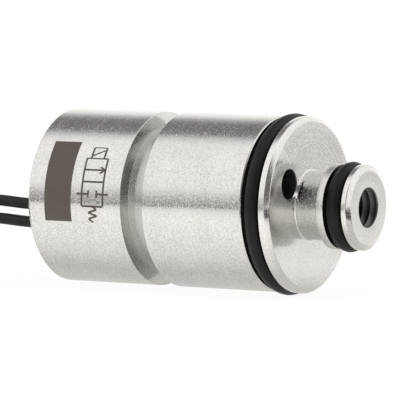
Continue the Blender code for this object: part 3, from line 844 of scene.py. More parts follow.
@dataclass
class Marking(SubAssembly):
    """A dark laser field on the housing's side, with the standard symbol of a two-way valve beside it.

    A spot on the mark is a length from the housing's rear end and a length round its side. The symbol's
    smaller sizes are shares of its box.
    """

    housing: Piece
    radius: float = Housing.radius
    rear: float = Housing.rear
    proud: float = 0.000006
    sunk: float = 0.00003
    field_start: float = 0.00178
    field_end: float = 0.00445
    top_angle: float = radians(41.8)
    bottom_angle: float = radians(-13.0)
    line: float = 0.00018
    step: float = 0.00015
    symbol_start: float = 0.00555
    symbol_box: float = 0.0021
    symbol_centre: float = 0.0018
    arrow_length: float = 0.25
    arrow_spread: float = 0.13
    port_length: float = 0.25
    stop_depth: float = 0.3
    stop_spread: float = 0.15
    coil_spread: float = 0.3
    coil_height: float = 0.5
    coil_margin: float = 0.1
    spring_swings: tuple[float, ...] = (0, 0.2, -0.2, 0.2, -0.2, 0)
    spring_step: float = 0.13

    def bar(self, first: Spot, last: Spot, width: float) -> Piece:
        """Lay a flat bar in front of the housing, in fine steps along its length.

        Args:
            first: The spot that it starts from.
            last: The spot that it ends at.
            width: Its width.

        Returns:
            The bar.
        """
        start, end = (
            self.shop.datum.place(self.rear + x, -self.radius, self.radius * tan(arc / self.radius))
            for x, arc in (first, last)
        )
        along = end - start
        return self.shop.add(
            bpy.ops.mesh.primitive_grid_add, "mark_bar", (along.length, width, 1.0), size=1.0,
            x_subdivisions=max(1, round(along.length / self.step)), y_subdivisions=1,
            location=(start + end) / 2, rotation=(pi / 2, -atan2(along.z, along.x), 0.0),
        )

    def symbol(self) -> list[tuple[Spot, Spot]]:
        """Draw a valve that a spring shuts and a coil opens: two boxes, the coil over them, the spring below.

        Returns:
            The strokes, each from one spot to another.
        """
        box = self.symbol_box
        low, high, middle = self.symbol_start, self.symbol_start + box, self.symbol_start + box / 2
        bottom, top = self.symbol_centre - box, self.symbol_centre + box
        strokes = [((x, bottom), (x, top)) for x in (low, high)]
        strokes += [((low, level), (high, level)) for level in (bottom, self.symbol_centre, top)]
        flow, shut = self.symbol_centre + box / 2, self.symbol_centre - box / 2
        strokes.append(((low, flow), (high, flow)))
        barb = high - self.arrow_length * box
        strokes += [((high, flow), (barb, flow + side * self.arrow_spread * box)) for side in (-1, 1)]
        for edge, way in ((low, box), (high, -box)):
            stop = edge + self.stop_depth * way
            strokes.append(((edge - self.port_length * way, shut), (stop, shut)))
            strokes.append(((stop, shut - self.stop_spread * box), (stop, shut + self.stop_spread * box)))
        left, right = middle - self.coil_spread * box, middle + self.coil_spread * box
        crown, margin = top + self.coil_height * box, self.coil_margin * box
        strokes += [((x, top), (x, crown)) for x in (left, right)]
        strokes += [((left, crown), (right, crown)), ((left, top + margin), (right, crown - margin))]
        zigzag = [
            (middle + swing * box, bottom - self.spring_step * box * number)
            for number, swing in enumerate(self.spring_swings)
        ]
        return strokes + list(zip(zigzag, zigzag[1:]))

    def build(self) -> Piece:
        """Lay the bars, wrap them on the housing and give them their depth.

        Returns:
            The mark.
        """
        top, bottom = self.top_angle * self.radius, self.bottom_angle * self.radius
        middle = (self.field_start + self.field_end) / 2
        bars = [self.bar((middle, bottom), (middle, top), self.field_end - self.field_start)]
        bars += [self.bar(first, last, self.line) for first, last in self.symbol()]
        piece = self.shop.join("laser_mark", bars)
        self.shop.apply(
            piece, "SHRINKWRAP", target=self.housing, wrap_method="NEAREST_SURFACEPOINT",
            wrap_mode="ABOVE_SURFACE", offset=self.proud,
        )
        self.shop.apply(piece, "SOLIDIFY", thickness=self.proud + self.sunk, offset=-1.0)
        return self.shop.smooth(piece)

    def make(self) -> None:
        """Build the mark and dress it."""
        piece = self.build()
        self.shop.dress(piece, "housing_steel", MARKED_STEEL, "laser_mark")
        self.shop.fit(piece, Body.VALVE)


@dataclass
class SeatBody(SubAssembly):
    """The turned front: flange, neck, tapped nose and valve seat, with a port drilled through its face."""

    tip: float = 0.0055272
    nose_gland_front: float = 0.0048272
    nose_flange_front: float = 0.0031
    neck_length: float = 0.0024
    nose_radius: float = 0.003625
    tip_chamfer_length: float = 0.00025
    tip_chamfer_depth: float = 0.0005
    nose_gland_radius: float = 0.002425
    neck_radius: float = 0.00293
    neck_fillet: float = 0.00014
    neck_fillet_steps: int = 8
    flange_radius: float = Housing.radius
    flange_chamfer_length: float = 0.00035
    flange_chamfer_depth: float = 0.00038
    flange_rear: float = -0.00088
    body_gland_radius: float = 0.00638
    shoulder: float = -0.002531
    insert_radius: float = 0.00535
    pilot_end: float = -0.00644
    gasket_seat: float = -0.0053
    gasket_seat_radius: float = 0.0049
    chamber_radius: float = 0.0045
    chamber_front: float = -0.0020
    lip_foot_radius: float = 0.0021
    lip_radius: float = 0.0015
    seat_plane: float = -0.0036
    orifice_radius: float = 0.00075
    bore_floor: float = -0.0006
    bore_radius: float = 0.00165
    thread_radius: float = 0.00195
    thread_pitch: float = 0.0007
    thread_start: float = 0.0006
    thread_count: int = 7
    thread_rings: tuple[float, ...] = (0.0, 0.4, 0.48, 0.88)
    mouth_radius: float = 0.00174
    mouth_depth: float = 0.00010
    port_radius: float = 0.00127
    port_circle: float = 0.0042
    port_angle: float = radians(62)
    port_bottom: float = -0.0024
    port_edge: float = 0.00006
    port_sides: int = 64
    edge: float = 0.00006
    mouth_edge: float = 0.00003
    lip_edge: float = 0.00005
    corner: float = 0.0001
    sides: int = 240

    def outline(self) -> Outline:
        """Draw the turned outline from the tip over the outside and back through the bore.

        Returns:
            The outline.
        """
        line = Outline().through(
            (self.tip, self.mouth_radius, self.mouth_edge),
            (self.tip, self.nose_radius - self.tip_chamfer_depth, self.edge),
            (self.tip - self.tip_chamfer_length, self.nose_radius, self.edge),
            (self.nose_gland_front, self.nose_radius, self.edge),
            (self.nose_gland_front, self.nose_gland_radius, self.corner),
            (self.nose_flange_front, self.nose_gland_radius, self.corner),
            (self.nose_flange_front, self.nose_radius, self.edge),
            (self.neck_length, self.nose_radius, self.edge),
            (self.neck_length, self.neck_radius, self.corner),
        )
        centre = (self.neck_fillet, self.neck_radius + self.neck_fillet)
        line.arc(centre, self.neck_fillet, 1.5 * pi, pi, self.neck_fillet_steps)
        line.through(
            (0.0, self.flange_radius - self.flange_chamfer_depth, self.edge),
            (-self.flange_chamfer_length, self.flange_radius, self.edge),
            (self.flange_rear, self.flange_radius, self.edge),
            (self.flange_rear, self.body_gland_radius, self.corner),
            (self.shoulder, self.body_gland_radius, self.corner),
            (self.shoulder, self.insert_radius),
            (self.pilot_end, self.insert_radius, self.edge),
            (self.pilot_end, self.gasket_seat_radius),
            (self.gasket_seat, self.gasket_seat_radius),
            (self.gasket_seat, self.chamber_radius),
            (self.chamber_front, self.chamber_radius, self.corner),
            (self.chamber_front, self.lip_foot_radius, self.corner),
            (self.seat_plane, self.lip_radius, self.lip_edge),
            (self.seat_plane, self.orifice_radius, self.lip_edge),
            (self.bore_floor, self.orifice_radius, self.lip_edge),
            (self.bore_floor, self.bore_radius),
        )
        radii = (self.bore_radius, self.thread_radius, self.thread_radius, self.bore_radius)
        for number in range(self.thread_count):
            crest = self.thread_start + number * self.thread_pitch
            for share, radius in zip(self.thread_rings, radii):
                line.to(crest + share * self.thread_pitch, radius)
        return line.to(self.tip - self.mouth_depth, self.bore_radius)

    def build(self) -> Piece:
        """Turn the body and drill its port.

        Returns:
            The body.
        """
        piece = self.shop.lathe("turned_seat_body", self.outline(), self.sides)
        hole = Outline().through(
            (CUT_PAST, 0.0),
            (CUT_PAST, self.port_radius + self.port_edge + CUT_PAST),
            (-self.port_edge, self.port_radius),
            (self.port_bottom, self.port_radius),
            (self.port_bottom, 0.0),
        )
        axis = self.shop.datum.around(self.port_circle, self.port_angle)
        self.shop.drill(piece, hole, self.port_sides, axis)
        return self.shop.smooth(piece)

    def in_bore(self, spot: Vector) -> bool:
        """Tell whether a face is inside the nose's bore, the port or the housing.

        Args:
            spot: The face's middle.

        Returns:
            Whether it is inside.
        """
        port = Vector((-self.port_circle * sin(self.port_angle), self.port_circle * cos(self.port_angle)))
        radius, mouth = spot.yz.length, self.tip - self.mouth_depth / 2
        in_port = (spot.yz - port).length < self.port_radius + FACE_SLACK and spot.x < -self.port_edge
        in_nose = radius < self.thread_radius + FACE_SLACK and spot.x < mouth
        return in_port or in_nose or (spot.x < -FACE_SLACK and radius < self.insert_radius)

    def on_neck(self, spot: Vector) -> bool:
        """Tell whether a face is on the neck or the flange at its end."""
        outside = self.neck_radius - FACE_SLACK < spot.yz.length
        return outside and self.neck_fillet < spot.x < self.nose_flange_front

    def make(self) -> None:
        """Build the body and dress it, with a duller neck and painted shade on the steel inside what is
        bored.
        """
        piece = self.build()
        self.shop.dress(piece, "face_steel", FACE_STEEL)
        self.shop.dress_faces(piece, NECK_STEEL, "neck_steel", self.on_neck)
        # Painted shade: darker steel inside the nose's bore, the port and the housing.
        self.shop.dress_faces(piece, BORE_PAINTED_SHADE_STEEL, "bored_steel", self.in_bore)
        self.shop.fit(piece, Body.VALVE, "seat_body")


@dataclass
class SealRing(SubAssembly):
    """One O-ring, with the faint line that its mould leaves round the outside."""

    name: str
    node: str
    place: float
    radius: float
    section: float
    flash: float = 0.000012
    section_steps: int = 48
    sides: int = 200

    def make(self) -> None:
        """Turn the ring and dress it."""
        line = Outline()
        for step in range(self.section_steps):
            angle = 2 * pi * (step + 0.5) / self.section_steps + pi / 2
            line.to(self.place + self.section / 2 * cos(angle), self.radius + self.section / 2 * sin(angle))
        line.to(self.place, self.radius + self.section / 2 + self.flash)
        piece = self.shop.smooth(self.shop.lathe(self.name, line, self.sides))
        self.shop.deliver(piece, "rubber", BLACK_RUBBER, self.node)


@dataclass
class RearEnd(SubAssembly):
    """The moulded cap, the open ring that holds it, and the grommet that the leads leave by."""

    cap_front: float = -0.020071
    cap_shoulder: float = -0.021671
    cap_rear: float = -0.022671
    boss_rear: float = -0.023471
    plug_radius: float = 0.00535
    flange_radius: float = 0.00635
    boss_radius: float = 0.0044
    cap_edge: float = 0.0001
    boss_edge: float = 0.0002
    cap_sides: int = 160
    clip_front: float = -0.022691
    clip_rear: float = -0.023291
    clip_radius: float = 0.0067
    clip_width: float = 0.0008
    clip_edge: float = 0.00004
    clip_steps: tuple[int, int, int] = (120, 6, 110)
    lug_radius: float = 0.0051
    lug_hole_circle: float = 0.0059
    lug_hole_radius: float = 0.0004
    lug_hole_depth: float = 0.0012
    lug_hole_sides: int = 32
    mouth_angle: float = radians(24)
    lug_angle: float = radians(17)
    lead_offset: float = 0.0019
    lead_spacing: float = 0.0016
    lead_hole_depth: float = 0.0014
    lead_hole_sides: int = 40
    grommet_radius: float = 0.00105
    grommet_front: float = -0.021271
    grommet_rear: float = -0.024471
    grommet_edge: float = 0.00012
    grommet_steps: int = 20
    fit_gap: float = 0.00005
    end_gap: float = 0.00002

    def slot_outline(self, radius: float) -> Outline:
        """Draw the grommet's upright outline with round ends.

        Args:
            radius: The radius of its ends.

        Returns:
            The outline.
        """
        half = self.lead_spacing / 2
        line = Outline().arc((0.0, half - self.lead_offset), radius, 0.0, pi, self.grommet_steps)
        return line.arc((0.0, -half - self.lead_offset), radius, pi, 2 * pi, self.grommet_steps)

    def build_cap(self) -> Piece:
        """Turn the cap and cut the grommet's window into it.

        Returns:
            The cap.
        """
        line = Outline().through(
            (self.cap_front, 0.0),
            (self.cap_front, self.plug_radius, self.cap_edge),
            (self.cap_shoulder, self.plug_radius),
            (self.cap_shoulder, self.flange_radius),
            (self.cap_rear, self.flange_radius, self.cap_edge),
            (self.cap_rear, self.boss_radius, self.boss_edge),
            (self.boss_rear, self.boss_radius, self.boss_edge),
            (self.boss_rear, 0.0),
        )
        cap = self.shop.lathe("moulded_end_cap", line, self.cap_sides)
        window = self.slot_outline(self.grommet_radius + self.fit_gap)
        front, rear = self.grommet_front + self.end_gap, self.boss_rear - CUT_PAST
        self.shop.cut(cap, self.shop.plate("window", window, front, rear))
        return self.shop.smooth(cap)

    def build_ring(self) -> Piece:
        """Bend the open ring, with a drilled lug at each side of its mouth.

        Returns:
            The ring.
        """
        half = self.mouth_angle / 2
        start, end = -pi / 2 + half, 1.5 * pi - half
        first, last = start + self.lug_angle, end - self.lug_angle
        outer, lug, inner = self.clip_steps
        line = Outline().arc((0.0, 0.0), self.clip_radius, start, end, outer)
        line.arc((0.0, 0.0), self.lug_radius, end, last, lug)
        line.arc((0.0, 0.0), self.clip_radius - self.clip_width, last, first, inner)
        line.arc((0.0, 0.0), self.lug_radius, first, start, lug)
        ring = self.shop.plate("open_retaining_ring", line, self.clip_front, self.clip_rear)
        hole_front, hole_rear = self.clip_front + CUT_PAST, self.clip_front - self.lug_hole_depth
        for side in (-1, 1):
            hole = Outline.rod(hole_front, hole_rear, self.lug_hole_radius)
            axis = self.shop.datum.around(self.lug_hole_circle, pi + side * (half + self.lug_angle / 2))
            self.shop.drill(ring, hole, self.lug_hole_sides, axis)
        self.shop.bevel(ring, self.clip_edge, segments=2)
        return self.shop.smooth(ring)

    def build_grommet(self) -> Piece:
        """Mould the grommet, with a hole for each lead.

        Returns:
            The grommet.
        """
        line = self.slot_outline(self.grommet_radius)
        grommet = self.shop.plate("lead_grommet_sleeve", line, self.grommet_front, self.grommet_rear)
        hole_front, hole_rear = self.grommet_rear + self.lead_hole_depth, self.grommet_rear - CUT_PAST
        for side in (-1, 1):
            hole = Outline.rod(hole_front, hole_rear, LEAD_RADIUS + self.fit_gap)
            axis = self.shop.datum.place(0.0, 0.0, -self.lead_offset + side * self.lead_spacing / 2)
            self.shop.drill(grommet, hole, self.lead_hole_sides, axis)
        self.shop.bevel(grommet, self.grommet_edge, segments=3)
        return self.shop.smooth(grommet)

    def make(self) -> None:
        """Build the rear end and dress it."""
        self.shop.deliver(self.build_cap(), "cap_plastic", CAP_PLASTIC, "end_cap")
        self.shop.deliver(self.build_ring(), "spring_steel", SPRING_STEEL, "retaining_ring")
        self.shop.deliver(self.build_grommet(), "rubber", BLACK_RUBBER, "lead_grommet")


# The leads' given way from the grommet to the coil: the places along X, and each lead's height at them.
ROUTE = (-0.0250, -0.0265, -0.0290, -0.0315, -0.0335, -0.0355, -0.0375, -0.0395, -0.0415, -0.0440)
LOWER_HEIGHTS = (
    -0.00270, -0.00268, -0.00258, -0.00242, -0.00246, -0.00306, -0.00400, -0.00520, -0.00620, -0.00680
)
UPPER_HEIGHTS = (
    -0.00110, -0.00108, -0.00098, -0.00082, -0.00084, -0.00132, -0.00208, -0.00320, -0.00415, -0.00470
)


@dataclass
class Lead(SubAssembly):
    """One flying lead: out of the grommet, down to the floor and into the tied coil, with a bare end."""

    name: str
    number: int
    heights: tuple[float, ...]
    first_layer: int
    extra_turn: float
    radius: float = LEAD_RADIUS
    length: float = 0.300
    rounding: int = 5
    hidden_start: float = -0.023371
    exit: float = RearEnd.grommet_rear
    route_steps: int = 5
    coil_centre: Spot = (-0.0440, -0.007812)
    coil_floor: float = -0.0073
    pitch: float = 0.00105
    inner_turn: float = 0.0042
    outer_turn: float = 0.007812
    turns: float = 3.44
    entry_turn: float = 0.06
    change_turn: float = 0.5
    steps_per_turn: int = 32
    dip: float = 0.00015
    tail: float = 0.00431
    tail_shares: tuple[float, ...] = (0.35, 0.7, 1.0)
    bare_length: float = 0.0040
    bare_radius: float = 0.00025
    bare_overlap: float = 0.0004
    strands: int = 7
    strand_radius: float = 0.000083
    strand_twist: float = 0.8
    strand_steps: int = 24
    strand_rounding: int = 3

    @property
    def whole(self) -> float:
        """All the turns in the coil: inwards, the change of layer and outwards."""
        return 2 * self.turns + self.change_turn + self.extra_turn

    def run(self) -> list[Vector]:
        """Smooth the given route from the grommet to the coil's first turn.

        Returns:
            The points of the centreline.
        """
        knots = [Vector((x, 0.0, self.heights[0])) for x in (self.hidden_start, self.exit)]
        knots += [Vector((x, 0.0, height)) for x, height in zip(ROUTE, self.heights)]
        knots = [2 * knots[0] - knots[1], *knots, self.turn_place(self.entry_turn)]
        points = []
        for before, first, second, after in zip(knots, knots[1:], knots[2:], knots[3:]):
            for step in range(self.route_steps):
                share = step / self.route_steps
                bend = (2 * before - 5 * first + 4 * second - after) * share**2
                twist = (3 * first - before - 3 * second + after) * share**3
                points.append((2 * first + (second - before) * share + bend + twist) / 2)
        return points

    def turn_place(self, turn: float) -> Vector:
        """The place after a number of turns in the coil.

        Args:
            turn: The turns so far, from the lead's arrival.

        Returns:
            The place on the centreline.
        """
        out_start = self.turns + self.change_turn
        level = self.coil_floor + self.radius + self.first_layer * self.pitch
        reach = self.outer_turn - self.inner_turn
        if turn <= self.turns:
            radius = self.outer_turn - reach * turn / self.turns
        elif turn <= out_start:
            share = (turn - self.turns) / self.change_turn
            radius = self.inner_turn - self.dip * sin(pi * share)
            level += self.pitch * (0.5 - 0.5 * cos(pi * share))
        else:
            radius = self.inner_turn + reach * (turn - out_start) / (self.turns + self.extra_turn)
            level += self.pitch
        angle = pi / 2 + 2 * pi * turn
        x, y = self.coil_centre
        return Vector((x + radius * cos(angle), y + radius * sin(angle), level))

    def coil(self) -> list[Vector]:
        """Wind the lead inwards on one layer and back outwards on the next."""
        count = int(self.whole * self.steps_per_turn)
        return [self.turn_place(self.whole * step / count) for step in range(count + 1)]

    def end_direction(self) -> Vector:
        """The way that the lead's end points."""
        angle = pi / 2 + 2 * pi * self.whole
        return Vector((-sin(angle), cos(angle), 0.0))

    def build_cord(self) -> Piece:
        """Draw the insulated length.

        Returns:
            The cord.
        """
        points = [*self.run(), *self.coil()]
        end = points[-1]
        points += [end + self.end_direction() * self.tail * share for share in self.tail_shares]
        places = [self.shop.datum.place(*point) for point in points]
        return self.shop.tube(self.name, places, self.radius, self.rounding)

    def build_bare_end(self) -> Piece:
        """Twist the tinned strands, six round a middle one, out of the stripped end.

        Returns:
            The strands.
        """
        along = self.end_direction()
        start = self.coil()[-1] + along * (self.tail - self.bare_overlap)
        side, up = Vector((-along.y, along.x, 0.0)), Vector((0.0, 0.0, 1.0))
        strands = []
        for number in range(self.strands):
            circle = 0.0 if number == 0 else self.bare_radius - self.strand_radius
            places = []
            for step in range(self.strand_steps + 1):
                share = step / self.strand_steps
                angle = number * pi / 3 + 2 * pi * self.strand_twist * share
                across = side * circle * cos(angle) + up * circle * sin(angle)
                spot = start + along * (self.bare_length + self.bare_overlap) * share + across
                places.append(self.shop.datum.place(*spot))
            strand = self.shop.tube(f"strand_{number}", places, self.strand_radius, self.strand_rounding)
            strands.append(self.shop.as_mesh(strand))
        return self.shop.join(f"{self.name}_strands", strands)

    def make(self) -> None:
        cord = self.build_cord()
        self.shop.deliver(cord, "lead_insulation", LEAD_INSULATION, f"lead_{self.number}", "lead_coil")
        strands = self.build_bare_end()
        self.shop.deliver(strands, "tinned_wire", TINNED_STRANDS, f"lead_end_{self.number}")
        leave = self.shop.datum.place(self.exit, 0.0, self.heights[0])


@dataclass
class LeadTie(SubAssembly):
    """The nylon tie that holds the coiled leads together."""

    coil_centre: Spot = Lead.coil_centre
    floor: float = Lead.coil_floor
    angle: float = radians(10)
    inner: float = 0.00364
    outer: float = 0.008372
    height: float = 0.00415
    gap: float = 0.00010
    thickness: float = 0.00025
    width: float = 0.0016
    edge: float = 0.00005
    corner: float = 0.0005
    corner_steps: int = 6
    lock: tuple[float, float, float] = (0.0019, 0.0023, 0.0011)
    lock_edge: float = 0.00015
    tail: float = 0.0024

    @property
    def foot(self) -> Vector:
        """The coil's middle on the floor."""
        return Vector((*self.coil_centre, self.floor))

    @property
    def out(self) -> Vector:
        """The way outwards from the coil's middle to the tie."""
        return Vector((cos(self.angle), sin(self.angle), 0.0))

    def block(self, middle: Vector, size: tuple[float, float, float], soften: float) -> Piece:
        """Make a block that is turned with the tie.

        Args:
            middle: Its middle, in the valve's own frame.
            size: Its lengths outwards from the coil, along the lead and upwards.
            soften: How far its edges are softened.

        Returns:
            The block.
        """
        piece = self.shop.add(
            bpy.ops.mesh.primitive_cube_add, "tie_block", size, size=1.0,
            location=self.shop.datum.place(*middle), rotation=(0.0, 0.0, self.angle),
        )
        self.shop.bevel(piece, soften, segments=3)
        return self.shop.smooth(piece)

    def build_lock(self) -> list[Piece]:
        """Set the lock on top of the band, with the strap's cut end through it.

        Returns:
            The lock and the strap's end.
        """
        middle = self.foot + self.out * (self.inner + self.outer) / 2
        middle.z += self.height + self.gap + self.thickness + self.lock[2] / 2
        end = middle + self.out * (self.lock[0] + self.tail) / 2
        strap = (self.tail, self.width, self.thickness)
        return [self.block(middle, self.lock, self.lock_edge), self.block(end, strap, self.edge)]

    def build(self) -> Piece:
        """Bend the band round the coil and lock it on top.

        Returns:
            The tie.
        """
        along = Vector((-self.out.y, self.out.x, 0.0))
        reach = self.gap + self.thickness / 2
        near, far, top = self.inner - reach, self.outer + reach, self.height + reach
        corners = ((near, -reach), (far, -reach), (far, top), (near, top))
        line = Outline().through(*((*corner, self.corner) for corner in corners))
        places = []
        for point in line.points(self.corner_steps):
            spot = self.foot + self.out * point.x + Vector((0.0, 0.0, point.y)) - along * self.width / 2
            places.append(self.shop.datum.place(*spot))
        band = self.shop.trace("lead_tie_band", places)
        bpy.ops.mesh.remove_doubles(threshold=MERGE_DISTANCE)
        bpy.ops.mesh.extrude_edges_move(TRANSFORM_OT_translate={"value": along * self.width})
        self.shop.close_up()
        self.shop.apply(band, "SOLIDIFY", thickness=self.thickness, offset=0.0)
        self.shop.bevel(band, self.edge, segments=2)
        self.shop.smooth(band)
        return self.shop.join(band.name, [band, *self.build_lock()])

    def make(self) -> None:
        """Build the tie and dress it."""
        self.shop.deliver(self.build(), "tie_plastic", NATURAL_NYLON, "lead_tie")


@dataclass
class ReturnSpring(SubAssembly):
    """The plunger's return spring."""

    front: float = -0.00884
    rear: float = -0.01484
    wire_radius: float = 0.00015
    wire_rounding: int = 3
    coil_radius: float = 0.00095
    turns: int = 7
    stroke: float = 0.0005
    steps_per_turn: int = 28

    def build(self) -> Piece:
        """Wind the spring, with end turns that lie flatter than the middle.

        Returns:
            The spring.
        """
        front, rear = self.front - self.wire_radius, self.rear + self.wire_radius
        steps = self.turns * self.steps_per_turn
        places = []
        for step in range(steps + 1):
            share = step / steps
            x = front + (rear - front) * (share - sin(2 * pi * share) / (4 * pi))
            angle = 2 * pi * self.turns * share
            y, z = self.coil_radius * cos(angle), self.coil_radius * sin(angle)
            places.append(self.shop.datum.place(x, y, z))
        wire = self.shop.tube("wound_return_spring", places, self.wire_radius, self.wire_rounding)
        return self.shop.as_mesh(wire)

    def make(self) -> None:
        """Build the spring, dress it and give it a mesh of its own."""
        piece = self.build()
        self.shop.deliver(piece, "spring_steel", SPRING_STEEL, "return_spring")
        anchor = self.shop.datum.place(self.rear)
        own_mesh(piece)


@dataclass
class InnerParts(SubAssembly):
    """The solids inside the housing, which keep their shape and get their finishes."""

    finishes: tuple[tuple[str, Finish, tuple[str, ...]], ...] = (
        ("magnet_steel", MAGNET_STEEL, ("plunger", "fixed_core", "front_pole_plate", "rear_pole_plate")),
        ("rubber", BLACK_RUBBER, ("plunger_seal", "tube_gasket")),
        ("brass", BRASS, ("residual_shim", "terminal_pin_1", "terminal_pin_2")),
        ("face_steel", FACE_STEEL, ("guide_tube",)),
        ("bobbin_plastic", NATURAL_NYLON, ("coil_bobbin",)),
        ("copper_winding", COPPER_WIRE, ("coil_winding",)),
        ("tape", AMBER_TAPE, ("coil_tape",)),
        ("spring_steel", SPRING_STEEL, ("wave_washer",)),
    )
    moving: tuple[str, ...] = ("plunger", "plunger_seal")

    def make(self) -> None:
        """Dress each solid, and report it with the body that carries it."""
        for slot, finish, names in self.finishes:
            for name in names:
                self.shop.dress(frame["nodes"][name], slot, finish)
                body = Body.PLUNGER if name in self.moving else Body.VALVE
                LOG.info("solid %s on %s with %s", name, body.value, slot)


@dataclass(frozen=True)
class Card:
    """A card on the floor that only the steel's reflections see, with a glow that changes along Y. It paints
    reflections into the steel: a dim glow is painted shade, a bright one painted light.
    """

    name: str
    left: float
    right: float
    glow: tuple[Spot, ...]
    tint: Colour = (1.0, 0.985, 0.955)
    height: float = 0.00005
    strength: float = 1.3

    def material(self, front: float, back: float) -> Material:
        """Make the material that glows by the place along Y.

        Args:
            front: The place of the first glow.
            back: The place of the last glow.

        Returns:
            The material.
        """
        made = bpy.data.materials.new(self.name)
        made.use_nodes = True
        made.node_tree.nodes.clear()
        graph = Graph(made.node_tree)
        depth = graph.parts(graph.add("ShaderNodeTexCoord").outputs["Object"])["Y"]
        stops = [((y - front) / (back - front), glow / self.strength) for y, glow in self.glow]
        colour = graph.ramp(graph.between(depth, 0.0, 1.0, front, back), stops, self.tint)
        light = graph.add("ShaderNodeEmission", {"Color": colour, "Strength": self.strength})
        graph.add("ShaderNodeOutputMaterial", {"Surface": light.outputs[0]})
        return made

    def make(self) -> None:
        """Lay the card from its first glow to its last, and hide it from all but the reflections."""
        front, back = self.glow[0][0], self.glow[-1][0]
        stretch = (self.right - self.left, back - front, 1.0)
        middle = ((self.left + self.right) / 2, (front + back) / 2, self.height)
        card = Bench.add(bpy.ops.mesh.primitive_plane_add, self.name, stretch, size=1.0, location=middle)
        card.data.materials.append(self.material(front, back))
        card.visible_camera = False
        card.visible_diffuse = False
        card.visible_shadow = False


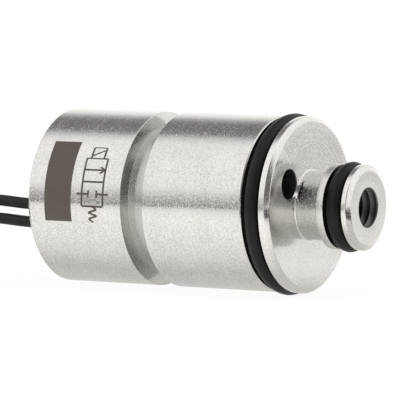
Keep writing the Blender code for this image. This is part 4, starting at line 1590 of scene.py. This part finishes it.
@dataclass
class Studio:
    """The floor, the cards that paint reflections, the light and the camera. The light's angles are degrees
    round X, from -Y upwards.
    """

    datum: Datum
    azimuth: float = radians(30.7)
    elevation: float = radians(4.45)
    distance: float = 0.345
    lens: float = 361.5
    sensor: float = 36.0
    clip: Spot = (0.001, 20.0)
    target_x: float = -0.0109
    floor_size: float = 3.0
    floor_tone: float = 0.12
    floor_roughness: float = 0.9
    floor_glow: float = 0.92
    # Painted reflections: the floor card paints contact shade under the valve and a brighter band before it,
    # the back card dims the floor behind that the face mirrors, and the side, far and nose cards are dark
    # sheets that paint dark bands into the steel.
    cards: tuple[Card, ...] = (
        Card(
            "studio_floor_card", -0.120, 0.035,
            (
                (-0.068, 1.00), (-0.045, 1.16), (-0.024, 1.21), (-0.014, 1.15), (-0.010, 1.07),
                (-0.007, 0.94), (-0.0045, 0.70), (0.004, 0.70), (0.016, 1.00),
            ),
        ),
        Card("studio_side_card", -0.145, -0.045, ((-0.142, 0.30), (-0.069, 0.18))),
        Card("studio_far_card", -1.000, 0.100, ((-1.500, 0.45), (-0.143, 0.45))),
        Card(
            "studio_back_card", 0.000, 0.250,
            ((0.030, 1.00), (0.080, 0.93), (0.120, 0.80), (0.155, 0.67), (0.220, 0.62)),
        ),
        Card("studio_nose_card", 0.040, 0.170, ((-0.130, 0.08), (0.040, 0.08))),
    )
    sky_stops: tuple[Spot, ...] = (
        (-180.0, 0.75), (-2.0, 0.40), (4.0, 0.44), (11.0, 0.66), (18.0, 0.84), (24.0, 0.87), (84.0, 0.87),
        (94.0, 0.60), (101.0, 0.22), (113.0, 0.18), (127.0, 0.20), (138.0, 0.42), (147.0, 0.75),
        (156.0, 0.88), (180.0, 0.88),
    )
    sky_tint: Colour = (1.0, 0.998, 0.985)
    sky_strength: float = 1.3
    nose_side_tone: float = 0.87
    nose_side_blend: float = 0.15
    shade_x: float = 0.65
    shade_width: float = 0.45
    shade_angle: float = 32.0
    shade_height: float = 48.0
    shade_tone: float = 0.16
    shade_core: float = 0.55
    shade_rim: float = 1.15

    def make_floor(self) -> None:
        """Lay a pale floor that glows a little, so that shadows on it stay faint."""
        floor = Bench.add(bpy.ops.mesh.primitive_plane_add, "studio_floor", UNSTRETCHED, size=self.floor_size)
        material = bpy.data.materials.new("studio_floor")
        material.use_nodes = True
        inputs = material.node_tree.nodes["Principled BSDF"].inputs
        inputs["Base Color"].default_value = (self.floor_tone, self.floor_tone, self.floor_tone, 1.0)
        inputs["Roughness"].default_value = self.floor_roughness
        inputs["Specular IOR Level"].default_value = 0.0
        inputs["Emission Color"].default_value = WHITE
        inputs["Emission Strength"].default_value = self.floor_glow
        floor.data.materials.append(material)

    def make_light(self) -> None:
        """Light the valve from a soft room, with a dark band overhead and a dim patch beside the nose.

        Rays towards +X see a plain tone, and the camera sees plain white.
        """
        world = bpy.data.worlds.new("soft_studio")
        bpy.context.scene.world = world
        world.use_nodes = True
        world.node_tree.nodes.clear()
        graph = Graph(world.node_tree)
        parts = graph.parts(graph.add("ShaderNodeTexCoord").outputs["Generated"])
        turn = graph.math("ARCTAN2", parts["Z"], graph.math("MULTIPLY", parts["Y"], -1.0))
        share = graph.math("MULTIPLY_ADD", turn, 0.5 / pi, 0.5)
        stops = [((angle + 180.0) / 360.0, tone) for angle, tone in self.sky_stops]
        sky = graph.ramp(share, stops, self.sky_tint)
        side = graph.between(parts["X"], 0.0, 1.0, -self.nose_side_blend, self.nose_side_blend)
        plain_side = (*(part * self.nose_side_tone for part in self.sky_tint), 1.0)
        colour = graph.blend(side, sky, plain_side)
        sideways = graph.math("DIVIDE", graph.math("SUBTRACT", parts["X"], self.shade_x), self.shade_width)
        raised = graph.math("SUBTRACT", turn, radians(self.shade_angle))
        upwards = graph.math("DIVIDE", raised, radians(self.shade_height))
        spread = graph.math("MULTIPLY_ADD", sideways, sideways, graph.math("MULTIPLY", upwards, upwards))
        shade = graph.between(spread, self.shade_tone, 1.0, self.shade_core, self.shade_rim)
        strength = graph.math("MULTIPLY", shade, self.sky_strength)
        room = graph.add("ShaderNodeBackground", {"Color": colour, "Strength": strength})
        plain = graph.add("ShaderNodeBackground", {"Color": WHITE, "Strength": 1.0})
        seen = graph.add("ShaderNodeLightPath").outputs["Is Camera Ray"]
        both = graph.add("ShaderNodeMixShader", {0: seen, 1: room.outputs[0], 2: plain.outputs[0]})
        graph.add("ShaderNodeOutputWorld", {"Surface": both.outputs[0]})

    def make_camera(self) -> None:
        """Set the camera at the photograph's place."""
        level = cos(self.elevation)
        back = Vector((sin(self.azimuth) * level, -cos(self.azimuth) * level, sin(self.elevation)))
        data = bpy.data.cameras.new("photo_camera")
        data.lens = self.lens
        data.sensor_width = self.sensor
        data.clip_start, data.clip_end = self.clip
        camera = bpy.data.objects.new("photo_camera", data)
        bpy.context.scene.collection.objects.link(camera)
        camera.location = self.datum.place(self.target_x) + back * self.distance
        camera.rotation_euler = (-back).to_track_quat("-Z", "Y").to_euler()
        bpy.context.scene.camera = camera

    def make(self) -> None:
        """Set up the camera, the floor with its cards of painted reflection, and the light."""
        self.make_camera()
        self.make_floor()
        for card in self.cards:
            card.make()
        self.make_light()
        bpy.context.scene.view_settings.view_transform = "Standard"
        LOG.info("studio ready")


def main() -> None:
    """Build the valve's looks piece by piece, and keep both boxes."""
    logging.basicConfig(level=logging.INFO, format="%(message)s")
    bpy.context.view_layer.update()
    shop = Workshop(Datum.read(frame["record"]))
    Studio(shop.datum).make()
    Lead(shop, "lower_lead", 1, LOWER_HEIGHTS, first_layer=0, extra_turn=0.0).make()
    Lead(shop, "upper_lead", 2, UPPER_HEIGHTS, first_layer=2, extra_turn=1 / 6).make()
    LeadTie(shop).make()
    housing = Housing(shop).make()
    Marking(shop, housing).make()
    SeatBody(shop).make()
    SealRing(shop, "body_seal_ring", "body_o_ring", -0.0017055, 0.00705, 0.0013).make()
    SealRing(shop, "nose_seal_ring", "nose_o_ring", 0.0039636, 0.003125, 0.00136).make()
    RearEnd(shop).make()
    ReturnSpring(shop).make()
    InnerParts(shop).make()


if __name__ == "__main__":
    main()
